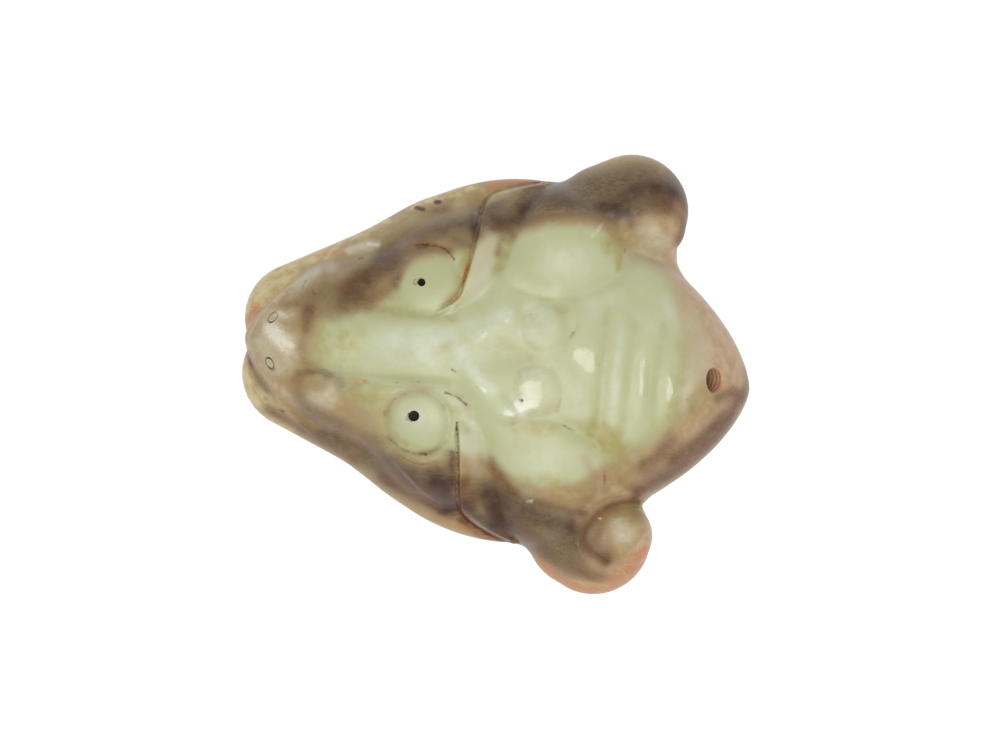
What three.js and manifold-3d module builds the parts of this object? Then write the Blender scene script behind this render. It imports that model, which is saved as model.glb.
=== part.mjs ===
// A beast-face mask carved from one pebble of jade, lying face up on its flat back.
//
// Millimetres. +X runs from the snout to the crest along the middle of the face, +Y to the side of
// the upper eye, +Z out of the face. The back lies on z = 0 and the origin is under the middle of
// the outline. The whole carving is one solid: rounded masses flow into one another, a low relief
// is carved into their upper side, and a few holes are drilled last.
import * as THREE from 'three';
import { mergeVertices } from 'three/addons/utils/BufferGeometryUtils.js';
import Module from 'manifold-3d';

// Rounded masses. An egg has a centre, three radii, and how square its plan and its side are.
// A bar is a round bar between two points whose radius changes evenly.
const JAW_BARS = [
  { from: [-40.0, 4.9, 9.8], to: [-14.2, 16.6, 12.0], radii: [10.9, 12.8] },
  { from: [-39.4, -6.3, 9.8], to: [-15.2, -14.9, 12.0], radii: [11.0, 12.5] },
];
const CHEEKS = { centre: [4.3, 0.3, 12.0], radii: [37.6, 36.4, 13.5], plan: 2.0, side: 2.3 };
const SNOUT = { centre: [-22, 0, 15.5], radii: [28.2, 19.3, 16.5], plan: 1.6, side: 2.3 };
const FACE = { centre: [-4, 0, 14.5], radii: [27, 30.5, 19.0], plan: 2.0, side: 2.5 };
const CREST = { centre: [10.8, -1.2, 12.5], radii: [40.3, 31.8, 21.0], plan: 1.57, side: 2.4 };
const HAUNCHES = [
  { centre: [10, 24, 15], radii: [15, 12.5, 15.5], plan: 2.0, side: 2.3 },
  { centre: [11, -23.5, 15], radii: [14, 13, 15.5], plan: 2.0, side: 2.3 },
];
const EAR_BARS = [
  { from: [19.6, 30.2, 14.0], to: [24.3, 32.3, 12.3], radii: [11.0, 11.3] },
  { from: [20.6, -32.5, 13.0], to: [22.8, -33.4, 12.3], radii: [11.2, 11.4] },
];
// Stone left standing between the upper ear and the crest.
const NECK = { from: [27.0, 27.0, 12.0], to: [28.6, 23.0, 12.0], radii: [5.6, 5.6] };
// Each ear curls round a ball. The cup is the gap cut round it, and softness how it sits there.
// The rim of the ear rises on the side away from where the curl opens (an angle in plan, radians).
const EAR_BALLS = [
  { centre: [28.8, 29.6, 16.6], radius: 6.4, cup: 0.35, softness: 1.4, rim: 0.3, opens: -1.2 },
  { centre: [27.8, -32.5, 16.6], radius: 6.6, cup: 0.6, softness: 1.4, rim: 1.1, opens: -0.7 },
];
const BALL_TALLER = 1.08;
const RIM = { out: 2.0, width: 1.2 };

// How far neighbouring masses flow into each other.
const BLEND = {
  jaws: 0.8,
  cheeks: 4.0,
  muzzle: 4.0,
  crest: 5.0,
  haunches: 3.0,
  ears: 2.0,
  neck: 2.0,
  lip: 0.8,
  cup: 0.8,
};

// The relief is carved between these two heights: none below the first, all of it above the second.
const RELIEF_FROM = 11;
const RELIEF_FULL = 19;

// Nose ridge: a flat-topped band down the middle of the muzzle.
const RIDGE = {
  path: [[-38.5, 0], [-25, 0.6], [-9, 1.4]],
  half: 5.2,
  widens: 1.2,
  height: 1.5,
  softEdge: 1.8,
  crispEdge: 0.9,
  fadeIn: [-43, -36.5],
  fadeOut: [-17, -4],
};
// Soft swellings and hollows: place, spread along X and Y, height.
const SWELLS = [
  { at: [-37.8, 0], spread: [2.6, 5.7], height: -0.9 },
  { at: [-42.3, 0], spread: [3.6, 4.5], height: 1.2 },
  { at: [-34.0, -10.8], spread: [2.8, 2.8], height: 1.5 },
  { at: [-37.0, 11.5], spread: [3.2, 3.2], height: 0.8 },
  { at: [-30.0, 15.5], spread: [3.6, 3.6], height: 0.9 },
  { at: [2.2, 0.9], spread: [4.6, 3.4], height: -0.8 },
  { at: [3.4, -10.6], spread: [2.4, 1.6], height: 0.3 },
  { at: [38.4, -2.0], spread: [3.6, 9.0], height: 0.8 },
  { at: [41.2, 0], spread: [2.6, 5.0], height: 0.6 },
  { at: [46.6, 0], spread: [2.4, 5.0], height: -0.6 },
];
// The edges of the lips and of the fold of the cheek: stone stands higher on one side of each line.
const LIP_EDGES = [
  {
    path: [[-49.6, -1.6], [-47.6, 3.2], [-45.2, 7.2], [-40.2, 12.5], [-36.6, 15.3], [-33.4, 16.2]],
    height: 0.7,
    highSide: -1,
  },
  { path: [[-34.0, 17.2], [-30.2, 19.6], [-27.0, 20.5], [-24.8, 20.2]], height: 0.7, highSide: -1 },
  {
    path: [[-49.6, -2.0], [-47.8, -4.7], [-45.0, -8.5], [-42.1, -11.8], [-38.3, -15.6], [-33.5, -19.0]],
    height: 0.5,
    highSide: 1,
  },
  { path: [[-18.2, -21.4], [-15.3, -24.2], [-11.6, -27.4], [-7.5, -30.2]], height: 0.4, highSide: 1 },
];
const LIP = { fall: 2.4, flank: 1.0 };
// Round buttons with a groove round them: the eyes and the two bosses of the forehead.
const EYES = [
  { at: [-15.0, 14.0], radius: 6.3, height: 1.2, groove: 0.12, width: 1.2, flatness: 2.3 },
  { at: [-14.2, -13.6], radius: 6.0, height: 1.3, groove: 0.4, width: 1.0, flatness: 2.3 },
];
const BOSSES = [
  { at: [9.0, 7.1], radius: 4.4, height: 0.5, groove: 0.06, width: 1.4, flatness: 2.8 },
  { at: [8.6, -5.4], radius: 4.8, height: 0.38, groove: 0.06, width: 1.4, flatness: 3.0 },
];
const BUTTON_FOOT = 0.3;
// Two low ridges part at the bridge of the nose and run past the bosses.
const BRIDGE = { from: [-8.5, 0.6], ends: [[1.0, 8.6], [4.4, -10.4]], height: 0.45, width: 2.8, start: 0.4 };
// Oval pads on the brow, stepped down on the side of the crest.
const PADS = [
  { at: [11.2, 22.4], radii: [12.0, 7.8], turn: 8 },
  { at: [12.4, -20.8], radii: [11.4, 8.6], turn: -10 },
];
const PAD = { height: 1.5, spread: 1.15, step: 0.6, stepOut: 1.06, stepWidth: 1.3, stepFrom: [-0.3, 0.8] };
// Leaf-shaped flaps behind the eyes: a deep crease in front, a soft valley behind.
const FLAPS = [
  {
    side: 1,
    crease: [
      [-13.2, 8.3], [-8.9, 11.4], [-7.7, 15.0], [-6.6, 20.2], [-5.8, 26.0],
      [-5.3, 30.3], [-3.8, 32.8], [0, 34.5], [5.5, 36.1],
    ],
    valley: [[-8.2, 9.6], [-4.3, 12.3], [-1.3, 17.0], [1.5, 25.9], [4.0, 31.6], [6.9, 35.6]],
  },
  {
    side: -1,
    crease: [
      [-6.6, -12.0], [-6.1, -16.0], [-5.6, -20.0], [-5.0, -26.0],
      [-4.5, -29.2], [-4.0, -30.8], [-2.0, -32.6], [1.4, -34.3], [6.0, -35.9],
    ],
    valley: [[-9.4, -7.3], [-4.6, -9.6], [-2.0, -14.0], [1.1, -21.5], [3.2, -28.2], [6.8, -34.9]],
  },
];
const FLAP = {
  lift: 1.4,
  base: 0.15,
  curve: 1.3,
  frontEdge: [-0.2, 0.8],
  backEdge: [-0.3, 0.6],
  start: 0.12,
  crease: { depth: 0.75, width: 1.3 },
  valley: { depth: 0.55, width: 2.0, start: 0.15 },
};
// The groove under the nose ridge.
const NOSE_GROOVE = {
  path: [[-39.5, -5.4], [-30.7, -6.4], [-22.7, -6.7], [-12.6, -6.2], [-8.7, -5.4]],
  width: 1.4,
  depth: 0.6,
};
// Ribs across the crest: the grooves between them, and where they fade.
const RIBS = {
  at: [21.2, 26.8, 32.3, 37.6],
  width: 1.5,
  depth: 0.4,
  fadeIn: { x: [18.5, 22], y: [-15.5, -9.5] },
  fadeOut: { x: [38, 41.5], y: [11, 18] },
};

// Drilled holes. Pupils go straight in, nostrils are rings left by a hollow drill, and the cord
// hole runs from the slope of the crest through to the back.
const PUPILS = [[-16.0, 13.9], [-15.0, -12.5]];
const PUPIL = { radius: 1.0, depth: 2.6, sides: 14 };
const NOSTRILS = [[-44.8, 4.3], [-44.6, -4.8]];
const NOSTRIL = { outer: 1.25, inner: 0.75, depth: 0.9, sides: 14, tilt: 48 };
const CORD_HOLE = { at: [43.15, 0.1, 25.8], radius: 2.45, flare: 2.9, flareDepth: 1.0, tilt: 42, sides: 24 };

// The middle of the outline, measured from the middle of the face.
const MIDDLE = [0.05, -0.55];
// The skin of the carving is a ball of triangles laid over it. Each corner of the ball sends a ray
// out of the heart, and more of them go up to the face than down to the back. Then the corners are
// evened out: each moves towards its neighbours and back onto the form, a few times over.
const HEART = new THREE.Vector3(0, 0, 5);
const UPWARD = 0.5;
const SKIN_DETAIL = 23;
const REACH = 66;
const NEAREST_STEP = 0.12;
const EVEN_ROUNDS = 30;
const EVEN_ABOVE = -0.5;
const TOUCH = 0.05;

const ease = THREE.MathUtils.smoothstep;
const bell = (distance, width) => Math.exp(-((distance / width) ** 2));
const mound = (share, flatness = 2) => Math.max(0, 1 - share ** flatness);

function join(a, b, reach) {
  const share = THREE.MathUtils.clamp(0.5 + (0.5 * (b - a)) / reach, 0, 1);
  return b + (a - b) * share - reach * share * (1 - share);
}

function cut(a, b, reach) {
  return -join(-a, -b, reach);
}

// Distance to an egg, to first order. Negative inside.
function egg(x, y, z, { centre, radii, plan, side }) {
  const tiny = 1e-5;
  const u = Math.abs(x - centre[0]) / radii[0] + tiny;
  const v = Math.abs(y - centre[1]) / radii[1] + tiny;
  const w = Math.abs(z - centre[2]) / radii[2] + tiny;
  const flat = (u ** plan + v ** plan) ** (1 / plan);
  const full = (flat ** side + w ** side) ** (1 / side);
  const pull = (flat / full) ** (side - 1);
  const slopeX = ((u / flat) ** (plan - 1) * pull) / radii[0];
  const slopeY = ((v / flat) ** (plan - 1) * pull) / radii[1];
  const slopeZ = (w / full) ** (side - 1) / radii[2];
  return (full - 1) / Math.hypot(slopeX, slopeY, slopeZ);
}

// Distance to a round bar whose radius changes evenly from one end to the other.
function bar(x, y, z, { from, to, radii }) {
  const along = to.map((value, i) => value - from[i]);
  const offset = [x - from[0], y - from[1], z - from[2]];
  const dot = (a, b) => a[0] * b[0] + a[1] * b[1] + a[2] * b[2];
  const share = THREE.MathUtils.clamp(dot(offset, along) / dot(along, along), 0, 1);
  const gap = Math.hypot(...offset.map((value, i) => value - share * along[i]));
  return gap - (radii[0] + (radii[1] - radii[0]) * share);
}

// Nearest point of a line in plan: how far, on which side of it, and how far along it.
function nearest(x, y, points) {
  const best = { gap: Infinity, side: 1, share: 0 };
  for (let i = 0; i + 1 < points.length; i += 1) {
    const [ax, ay] = points[i];
    const dx = points[i + 1][0] - ax;
    const dy = points[i + 1][1] - ay;
    const share = THREE.MathUtils.clamp(((x - ax) * dx + (y - ay) * dy) / (dx * dx + dy * dy), 0, 1);
    const px = x - ax - share * dx;
    const py = y - ay - share * dy;
    const gap = Math.hypot(px, py);
    if (gap < best.gap) {
      best.gap = gap;
      best.side = Math.sign(dx * py - dy * px);
      best.share = (i + share) / (points.length - 1);
    }
  }
  return best;
}

// A smooth curve through a few points, as a fine line.
function smoothLine(points) {
  const curve = new THREE.SplineCurve(points.map(([x, y]) => new THREE.Vector2(x, y)));
  return curve.getPoints(points.length * 6).map((point) => [point.x, point.y]);
}

const lipLines = LIP_EDGES.map(({ path, ...rest }) => ({ path: smoothLine(path), ...rest }));
const flapLines = FLAPS.map(({ side, crease, valley }) => ({
  side,
  crease: smoothLine(crease),
  valley: smoothLine(valley),
}));

// The pebble, roughed out: jaws and cheeks below, muzzle, face, crest, haunches and ears above.
function roughedOut(x, y, z) {
  let lower = join(bar(x, y, z, JAW_BARS[0]), bar(x, y, z, JAW_BARS[1]), BLEND.jaws);
  lower = join(lower, egg(x, y, z, CHEEKS), BLEND.cheeks);
  let upper = join(egg(x, y, z, SNOUT), egg(x, y, z, FACE), BLEND.muzzle);
  upper = join(upper, egg(x, y, z, CREST), BLEND.crest);
  upper = join(upper, Math.min(...HAUNCHES.map((mass) => egg(x, y, z, mass))), BLEND.haunches);
  upper = join(upper, Math.min(...EAR_BARS.map((mass) => bar(x, y, z, mass))), BLEND.ears);
  upper = join(upper, bar(x, y, z, NECK), BLEND.neck);
  return join(lower, upper, BLEND.lip);
}

function noseRelief(x, y) {
  const middle = nearest(x, y, RIDGE.path);
  const edge = middle.side > 0 ? RIDGE.softEdge : RIDGE.crispEdge;
  const half = RIDGE.half + RIDGE.widens * middle.share;
  const across = 1 - ease(middle.gap, half - edge, half + edge);
  const along = ease(x, ...RIDGE.fadeIn) * (1 - ease(x, ...RIDGE.fadeOut));
  const under = nearest(x, y, NOSE_GROOVE.path);
  const taper = Math.sqrt(Math.sin(Math.PI * under.share));
  const groove = NOSE_GROOVE.depth * bell(under.gap, NOSE_GROOVE.width) * taper;
  return RIDGE.height * across * along - groove;
}

function swellRelief(x, y) {
  let height = 0;
  for (const { at, spread, height: rise } of SWELLS) {
    height += rise * bell(Math.hypot((x - at[0]) / spread[0], (y - at[1]) / spread[1]), 1);
  }
  return height;
}

function lipRelief(x, y) {
  let height = 0;
  for (const { path, height: rise, highSide } of lipLines) {
    const edge = nearest(x, y, path);
    const inward = edge.gap * edge.side * highSide;
    const lip = inward > 0 ? Math.exp(-inward / LIP.fall) : bell(inward, LIP.flank);
    height += rise * lip * Math.sqrt(Math.sin(Math.PI * edge.share));
  }
  return height;
}

function buttonRelief(x, y) {
  let height = 0;
  for (const { at, radius, height: rise, groove, width, flatness } of [...EYES, ...BOSSES]) {
    const gap = Math.hypot(x - at[0], y - at[1]);
    height += rise * mound(gap / (radius + BUTTON_FOOT), flatness);
    height -= groove * bell(gap - radius - width / 4, width);
  }
  for (const end of BRIDGE.ends) {
    const ridge = nearest(x, y, [BRIDGE.from, end]);
    height += BRIDGE.height * bell(ridge.gap, BRIDGE.width) * ease(ridge.share, 0, BRIDGE.start);
  }
  return height;
}

function padRelief(x, y) {
  let height = 0;
  for (const { at, radii, turn } of PADS) {
    const angle = THREE.MathUtils.degToRad(turn);
    const dx = x - at[0];
    const dy = y - at[1];
    const u = (dx * Math.cos(angle) + dy * Math.sin(angle)) / radii[0];
    const v = (dy * Math.cos(angle) - dx * Math.sin(angle)) / radii[1];
    const out = Math.hypot(u, v);
    const step = PAD.step * bell((out - PAD.stepOut) * radii[1], PAD.stepWidth);
    height += PAD.height * mound(out / PAD.spread) - step * ease(u, ...PAD.stepFrom);
  }
  return height;
}

function flapRelief(x, y) {
  let height = 0;
  for (const { side, crease, valley } of flapLines) {
    const front = nearest(x, y, crease);
    const back = nearest(x, y, valley);
    const behindCrease = -front.gap * front.side * side;
    const beforeValley = back.gap * back.side * side;
    const inside = ease(behindCrease, ...FLAP.frontEdge) * ease(beforeValley, ...FLAP.backEdge);
    const share = THREE.MathUtils.clamp(beforeValley / (front.gap + back.gap), 0, 1);
    const start = ease(front.share, 0, FLAP.start);
    const valleyStart = ease(back.share, 0, FLAP.valley.start);
    height += inside * start * (FLAP.base + FLAP.lift * share ** FLAP.curve);
    height -= FLAP.crease.depth * start * bell(front.gap, FLAP.crease.width);
    height -= FLAP.valley.depth * valleyStart * bell(back.gap, FLAP.valley.width);
  }
  return height;
}

function ribRelief(x, y) {
  const along = ease(y, ...RIBS.fadeIn.y) * (1 - ease(y, ...RIBS.fadeOut.y));
  const across = ease(x, ...RIBS.fadeIn.x) * (1 - ease(x, ...RIBS.fadeOut.x));
  const grooves = RIBS.at.reduce((sum, at) => sum + bell(x - at, RIBS.width), 0);
  return -RIBS.depth * grooves * along * across;
}

// The raised rim of each ear, highest on the side away from where the curl opens.
function earRimRelief(x, y) {
  let height = 0;
  for (const { centre, radius, rim, opens } of EAR_BALLS) {
    const gap = Math.hypot(x - centre[0], y - centre[1]);
    const angle = Math.atan2(y - centre[1], x - centre[0]);
    height += rim * bell(gap - radius - RIM.out, RIM.width) * (0.5 - 0.5 * Math.cos(angle - opens));
  }
  return height;
}

const relief = (x, y) =>
  noseRelief(x, y) + swellRelief(x, y) + lipRelief(x, y) + buttonRelief(x, y)
  + padRelief(x, y) + flapRelief(x, y) + ribRelief(x, y) + earRimRelief(x, y);

// The finished form, still without its flat back and its holes. Negative inside.
function carved(x, y, z) {
  let form = roughedOut(x, y, z);
  const share = ease(z, RELIEF_FROM, RELIEF_FULL);
  if (share > 0) form -= relief(x, y) * share;
  for (const { centre, radius, cup, softness } of EAR_BALLS) {
    const ball = Math.hypot(x - centre[0], y - centre[1], (z - centre[2]) / BALL_TALLER) - radius;
    form = join(cut(form, cup - ball, BLEND.cup), ball, softness);
  }
  return form;
}

// Where the ray of one corner of the ball meets the form, coming in from outside.
function meetingPoint(corner) {
  const direction = new THREE.Vector3(corner.x, corner.y, corner.z + UPWARD).normalize();
  const point = new THREE.Vector3();
  const at = (distance) => point.copy(direction).multiplyScalar(distance).add(HEART);
  const form = (distance) => carved(at(distance).x, point.y, point.z);
  let outer = REACH;
  let gap = form(outer);
  let inner = outer;
  while (gap > 0) {
    outer = inner;
    inner -= Math.max(NEAREST_STEP, gap * 0.6);
    gap = form(inner);
  }
  for (let i = 0; i < 12; i += 1) {
    const middle = (outer + inner) / 2;
    if (form(middle) > 0) outer = middle;
    else inner = middle;
  }
  return at(outer);
}

// Moves a point straight onto the form, by its slope there.
function settle(point) {
  const { x, y, z } = point;
  const slope = new THREE.Vector3(
    carved(x + TOUCH, y, z) - carved(x - TOUCH, y, z),
    carved(x, y + TOUCH, z) - carved(x, y - TOUCH, z),
    carved(x, y, z + TOUCH) - carved(x, y, z - TOUCH),
  ).divideScalar(2 * TOUCH);
  const move = THREE.MathUtils.clamp(carved(x, y, z) / Math.max(slope.lengthSq(), 0.2), -1, 1);
  return point.addScaledVector(slope, -move);
}

function evenOut(geometry) {
  const places = geometry.attributes.position;
  const corners = [];
  for (let i = 0; i < places.count; i += 1) {
    corners.push(new THREE.Vector3().fromBufferAttribute(places, i));
  }
  const neighbours = corners.map(() => new Set());
  const faces = geometry.index.array;
  for (let i = 0; i < faces.length; i += 3) {
    for (let k = 0; k < 3; k += 1) {
      neighbours[faces[i + k]].add(faces[i + ((k + 1) % 3)]);
      neighbours[faces[i + k]].add(faces[i + ((k + 2) % 3)]);
    }
  }
  for (let round = 0; round < EVEN_ROUNDS; round += 1) {
    const middles = neighbours.map((near) => {
      const sum = new THREE.Vector3();
      for (const index of near) sum.add(corners[index]);
      return sum.divideScalar(near.size);
    });
    corners.forEach((corner, i) => {
      if (corner.z > EVEN_ABOVE) settle(corner.lerp(middles[i], 0.5));
    });
  }
  corners.forEach((corner, i) => {
    const { x, y, z } = corner.z > EVEN_ABOVE ? settle(corner) : corner;
    places.setXYZ(i, x, y, z);
  });
  return geometry;
}

function skin() {
  const geometry = new THREE.IcosahedronGeometry(1, SKIN_DETAIL);
  geometry.deleteAttribute('normal');
  geometry.deleteAttribute('uv');
  const closed = mergeVertices(geometry);
  const places = closed.attributes.position;
  const corner = new THREE.Vector3();
  for (let i = 0; i < places.count; i += 1) {
    corner.fromBufferAttribute(places, i).normalize();
    const { x, y, z } = meetingPoint(corner);
    places.setXYZ(i, x, y, z);
  }
  return evenOut(closed);
}

const wasm = await Module();
wasm.setup();

function solid(geometry) {
  geometry.deleteAttribute('normal');
  geometry.deleteAttribute('uv');
  const closed = mergeVertices(geometry);
  return new wasm.Manifold(
    new wasm.Mesh({
      numProp: 3,
      vertProperties: new Float32Array(closed.attributes.position.array),
      triVerts: new Uint32Array(closed.index.array),
    }),
  );
}

// Where the carved surface lies over a point of the plan.
function surfaceHeight(x, y) {
  let high = 45;
  let low = 5;
  for (let i = 0; i < 24; i += 1) {
    const middle = (high + low) / 2;
    if (carved(x, y, middle) > 0) high = middle;
    else low = middle;
  }
  return high;
}

// Everything below the back. The block is far wider than the carving.
function underTheBack() {
  const size = 2 * REACH;
  const block = new THREE.BoxGeometry(size, size, size);
  block.translate(0, 0, -size / 2);
  return solid(block);
}

function pupil([x, y]) {
  const drill = new THREE.CylinderGeometry(PUPIL.radius, PUPIL.radius, 2 * PUPIL.depth, PUPIL.sides);
  drill.rotateX(Math.PI / 2);
  drill.translate(x, y, surfaceHeight(x, y));
  return solid(drill);
}

function nostril([x, y]) {
  const { outer, inner, depth, sides, tilt } = NOSTRIL;
  const profile = [[inner, -depth], [outer, -depth], [outer, depth], [inner, depth], [inner, -depth]];
  const drill = new THREE.LatheGeometry(profile.map(([r, h]) => new THREE.Vector2(r, h)), sides);
  drill.rotateX(Math.PI / 2);
  drill.rotateY(THREE.MathUtils.degToRad(-tilt));
  drill.translate(x, y, surfaceHeight(x, y));
  return solid(drill);
}

// A straight bore with a flared mouth.
function cordHole() {
  const { at, radius, flare, flareDepth, tilt, sides } = CORD_HOLE;
  const bore = new THREE.CylinderGeometry(radius, radius, 2 * REACH, sides);
  const mouth = new THREE.CylinderGeometry(flare, radius, 2 * flareDepth, sides);
  const parts = [bore, mouth].map((part) => {
    part.rotateX(Math.PI / 2);
    part.rotateY(THREE.MathUtils.degToRad(tilt));
    part.translate(...at);
    return solid(part);
  });
  return parts[0].add(parts[1]);
}

function mask() {
  const holes = [...PUPILS.map(pupil), ...NOSTRILS.map(nostril), cordHole()];
  let body = solid(skin()).subtract(underTheBack());
  for (const hole of holes) body = body.subtract(hole);
  const { vertProperties, triVerts } = body.getMesh();
  const geometry = new THREE.BufferGeometry();
  geometry.setAttribute('position', new THREE.BufferAttribute(vertProperties, 3));
  geometry.setIndex(new THREE.BufferAttribute(triVerts, 1));
  geometry.translate(-MIDDLE[0], -MIDDLE[1], 0);
  geometry.computeVertexNormals();
  return geometry;
}

const jade = new THREE.MeshStandardMaterial({ name: 'jade', color: 0xaab28c, roughness: 0.3, metalness: 0 });
const carving = new THREE.Mesh(mask(), jade);
carving.name = 'beast_mask';

const model = new THREE.Group();
model.add(carving);

export default model;
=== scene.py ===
# %% [markdown]
# # A beast-face mask in jade
#
# The real object is a mask about ten centimetres long, ground from one pebble of jade: a blunt
# snout, bulging eyes with drilled pupils, leaf-shaped flaps behind them, ears that each curl round
# a ball, and a ribbed crest with a hole for a cord. Here it lies on its back and is seen from above.
#
# A carving like this could be sculpted by hand, but then nobody could repeat it. This lesson builds
# it from named masses instead, as the carver roughed them out, and lays a fine mesh over them.

# %% Load the solid part
import math

import bmesh
import bpy
import numpy as np
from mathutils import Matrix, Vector


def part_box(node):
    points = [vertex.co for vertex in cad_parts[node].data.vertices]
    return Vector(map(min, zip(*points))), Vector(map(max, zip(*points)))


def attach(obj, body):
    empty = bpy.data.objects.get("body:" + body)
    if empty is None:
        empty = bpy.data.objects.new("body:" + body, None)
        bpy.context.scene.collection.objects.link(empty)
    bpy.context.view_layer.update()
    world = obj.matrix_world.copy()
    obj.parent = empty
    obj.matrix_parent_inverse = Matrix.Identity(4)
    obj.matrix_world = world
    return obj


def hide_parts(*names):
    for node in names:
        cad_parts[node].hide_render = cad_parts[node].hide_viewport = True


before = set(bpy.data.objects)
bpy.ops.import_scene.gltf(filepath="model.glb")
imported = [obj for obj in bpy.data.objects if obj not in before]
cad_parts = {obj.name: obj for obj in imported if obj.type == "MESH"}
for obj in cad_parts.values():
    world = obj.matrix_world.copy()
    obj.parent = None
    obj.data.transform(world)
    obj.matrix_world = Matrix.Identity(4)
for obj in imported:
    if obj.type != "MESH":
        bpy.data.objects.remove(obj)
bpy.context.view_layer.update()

MM = 0.001
low, high = (np.array(corner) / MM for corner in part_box("beast_mask"))
print("the solid measures", np.round(high - low, 1), "mm")

# %% [markdown]
# ## The camera
#
# The picture was taken from straight above, with the snout to the left and the middle line of the
# face turned a few degrees. A long lens far away keeps the outline true, so that is what is used.

# %% The camera above the mask
def put(name, data):
    """Makes an object and puts it in the scene."""
    thing = bpy.data.objects.new(name, data)
    bpy.context.scene.collection.objects.link(thing)
    return thing


PICTURE_WIDE = 200.0
CAMERA_HEIGHT = 1500.0
OUTLINE_HEIGHT = 13.0
SENSOR = 36.0
TURN = math.radians(5.4)
PICTURE_MIDDLE = (1.1, -2.3)

camera_data = bpy.data.cameras.new("overhead")
camera_data.sensor_width = SENSOR
camera_data.lens = SENSOR * (CAMERA_HEIGHT - OUTLINE_HEIGHT) / PICTURE_WIDE
camera_data.clip_start = 0.1
camera_data.clip_end = 20.0
camera = put("overhead", camera_data)
camera.location = (PICTURE_MIDDLE[0] * MM, PICTURE_MIDDLE[1] * MM, CAMERA_HEIGHT * MM)
camera.rotation_euler = (0.0, 0.0, TURN)
bpy.context.scene.camera = camera
print("lens", round(camera_data.lens), "mm")

# %% [markdown]
# ## Rounded masses
#
# The carver first ground the pebble into big soft shapes. Each is an egg (a squarish ellipsoid) or
# a round bar here, given as a formula that is negative inside the stone and positive outside. Where
# two masses meet they are joined with a small reach, so they flow together as ground stone does.
# All places are in millimetres from the middle line of the face.

# %% Formulas for an egg, a bar and a soft join
def join(a, b, reach):
    """Joins two forms, with a soft hollow of that reach where they meet."""
    share = np.clip(0.5 + 0.5 * (b - a) / reach, 0, 1)
    return b + (a - b) * share - reach * share * (1 - share)


def cut(a, b, reach):
    """Keeps only what lies inside both forms, with the edge between them rubbed round."""
    return -join(-a, -b, reach)


def egg(p, centre, radii, plan, side):
    tiny = 1e-5
    u, v, w = np.abs((p - centre) / radii).T + tiny
    flat = (u**plan + v**plan) ** (1 / plan)
    full = (flat**side + w**side) ** (1 / side)
    pull = (flat / full) ** (side - 1)
    slope_x = (u / flat) ** (plan - 1) * pull / radii[0]
    slope_y = (v / flat) ** (plan - 1) * pull / radii[1]
    slope_z = (w / full) ** (side - 1) / radii[2]
    return (full - 1) / np.sqrt(slope_x**2 + slope_y**2 + slope_z**2)


def bar(p, start, end, radii):
    start = np.array(start)
    along = np.array(end) - start
    share = np.clip((p - start) @ along / (along @ along), 0, 1)
    gap = np.linalg.norm(p - start - share[:, None] * along, axis=1)
    return gap - (radii[0] + (radii[1] - radii[0]) * share)


heart = egg(np.zeros((1, 3)), 0, np.full(3, 10), 2, 2)
print("the heart of a ball of 10 mm lies", round(-float(heart[0]), 1), "mm inside it")

# %% The masses of the mask
# A bar is one end, the other end and the radius at each. An egg is its centre, its radii, and how
# square it is in plan and from the side, where 2 is round.
JAW_BARS = [
    ((-40.0, 4.9, 9.8), (-14.2, 16.6, 12.0), (10.9, 12.8)),
    ((-39.4, -6.3, 9.8), (-15.2, -14.9, 12.0), (11.0, 12.5)),
]
CHEEKS = ((4.3, 0.3, 12.0), (37.6, 36.4, 13.5), 2.0, 2.3)
SNOUT = ((-22, 0, 15.5), (28.2, 19.3, 16.5), 1.6, 2.3)
FACE = ((-4, 0, 14.5), (27, 30.5, 19.0), 2.0, 2.5)
CREST = ((10.8, -1.2, 12.5), (40.3, 31.8, 21.0), 1.57, 2.4)
BROWS = [
    ((10, 24, 15), (15, 12.5, 15.5), 2.0, 2.3),
    ((11, -23.5, 15), (14, 13, 15.5), 2.0, 2.3),
]
EAR_BARS = [
    ((19.6, 30.2, 14.0), (24.3, 32.3, 12.3), (11.0, 11.3)),
    ((20.6, -32.5, 13.0), (22.8, -33.4, 12.3), (11.2, 11.4)),
]
NECK = ((27.0, 27.0, 12.0), (28.6, 23.0, 12.0), (5.6, 5.6))
REACH = {
    "jaws": 0.8, "cheeks": 4.0, "muzzle": 4.0, "crest": 5.0,
    "brows": 3.0, "ears": 2.0, "neck": 2.0, "lip": 0.8,
}


def roughed_out(p):
    lower = join(bar(p, *JAW_BARS[0]), bar(p, *JAW_BARS[1]), REACH["jaws"])
    lower = join(lower, egg(p, *CHEEKS), REACH["cheeks"])
    upper = join(egg(p, *SNOUT), egg(p, *FACE), REACH["muzzle"])
    upper = join(upper, egg(p, *CREST), REACH["crest"])
    upper = join(upper, np.minimum(*(egg(p, *mass) for mass in BROWS)), REACH["brows"])
    upper = join(upper, np.minimum(*(bar(p, *mass) for mass in EAR_BARS)), REACH["ears"])
    upper = join(upper, bar(p, *NECK), REACH["neck"])
    return join(lower, upper, REACH["lip"])


middle_column = np.array([(0, 0, height) for height in np.arange(0, 40, 0.1)])
middle_height = middle_column[roughed_out(middle_column) < 0][:, 2].max()
print("roughed out, the middle stands", round(middle_height, 1), "mm high")

# %% [markdown]
# ## The relief
#
# Everything carved into the face is low, so it can be told as a height over the plan: so many
# tenths of a millimetre up or down at each point. Lines such as the crease in front of a flap are
# smooth curves through a few points, and each point of the plan asks how far it is from the curve
# and on which side. The heights are worked out once, into a fine table.

# %% Curves, falls and mounds
def ease(low_end, high_end, value):
    share = np.clip((value - low_end) / (high_end - low_end), 0, 1)
    return share * share * (3 - 2 * share)


def bell(distance, width):
    return np.exp(-((distance / width) ** 2))


def mound(share, power=2.0):
    return np.clip(1 - share**power, 0, 1)


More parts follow.
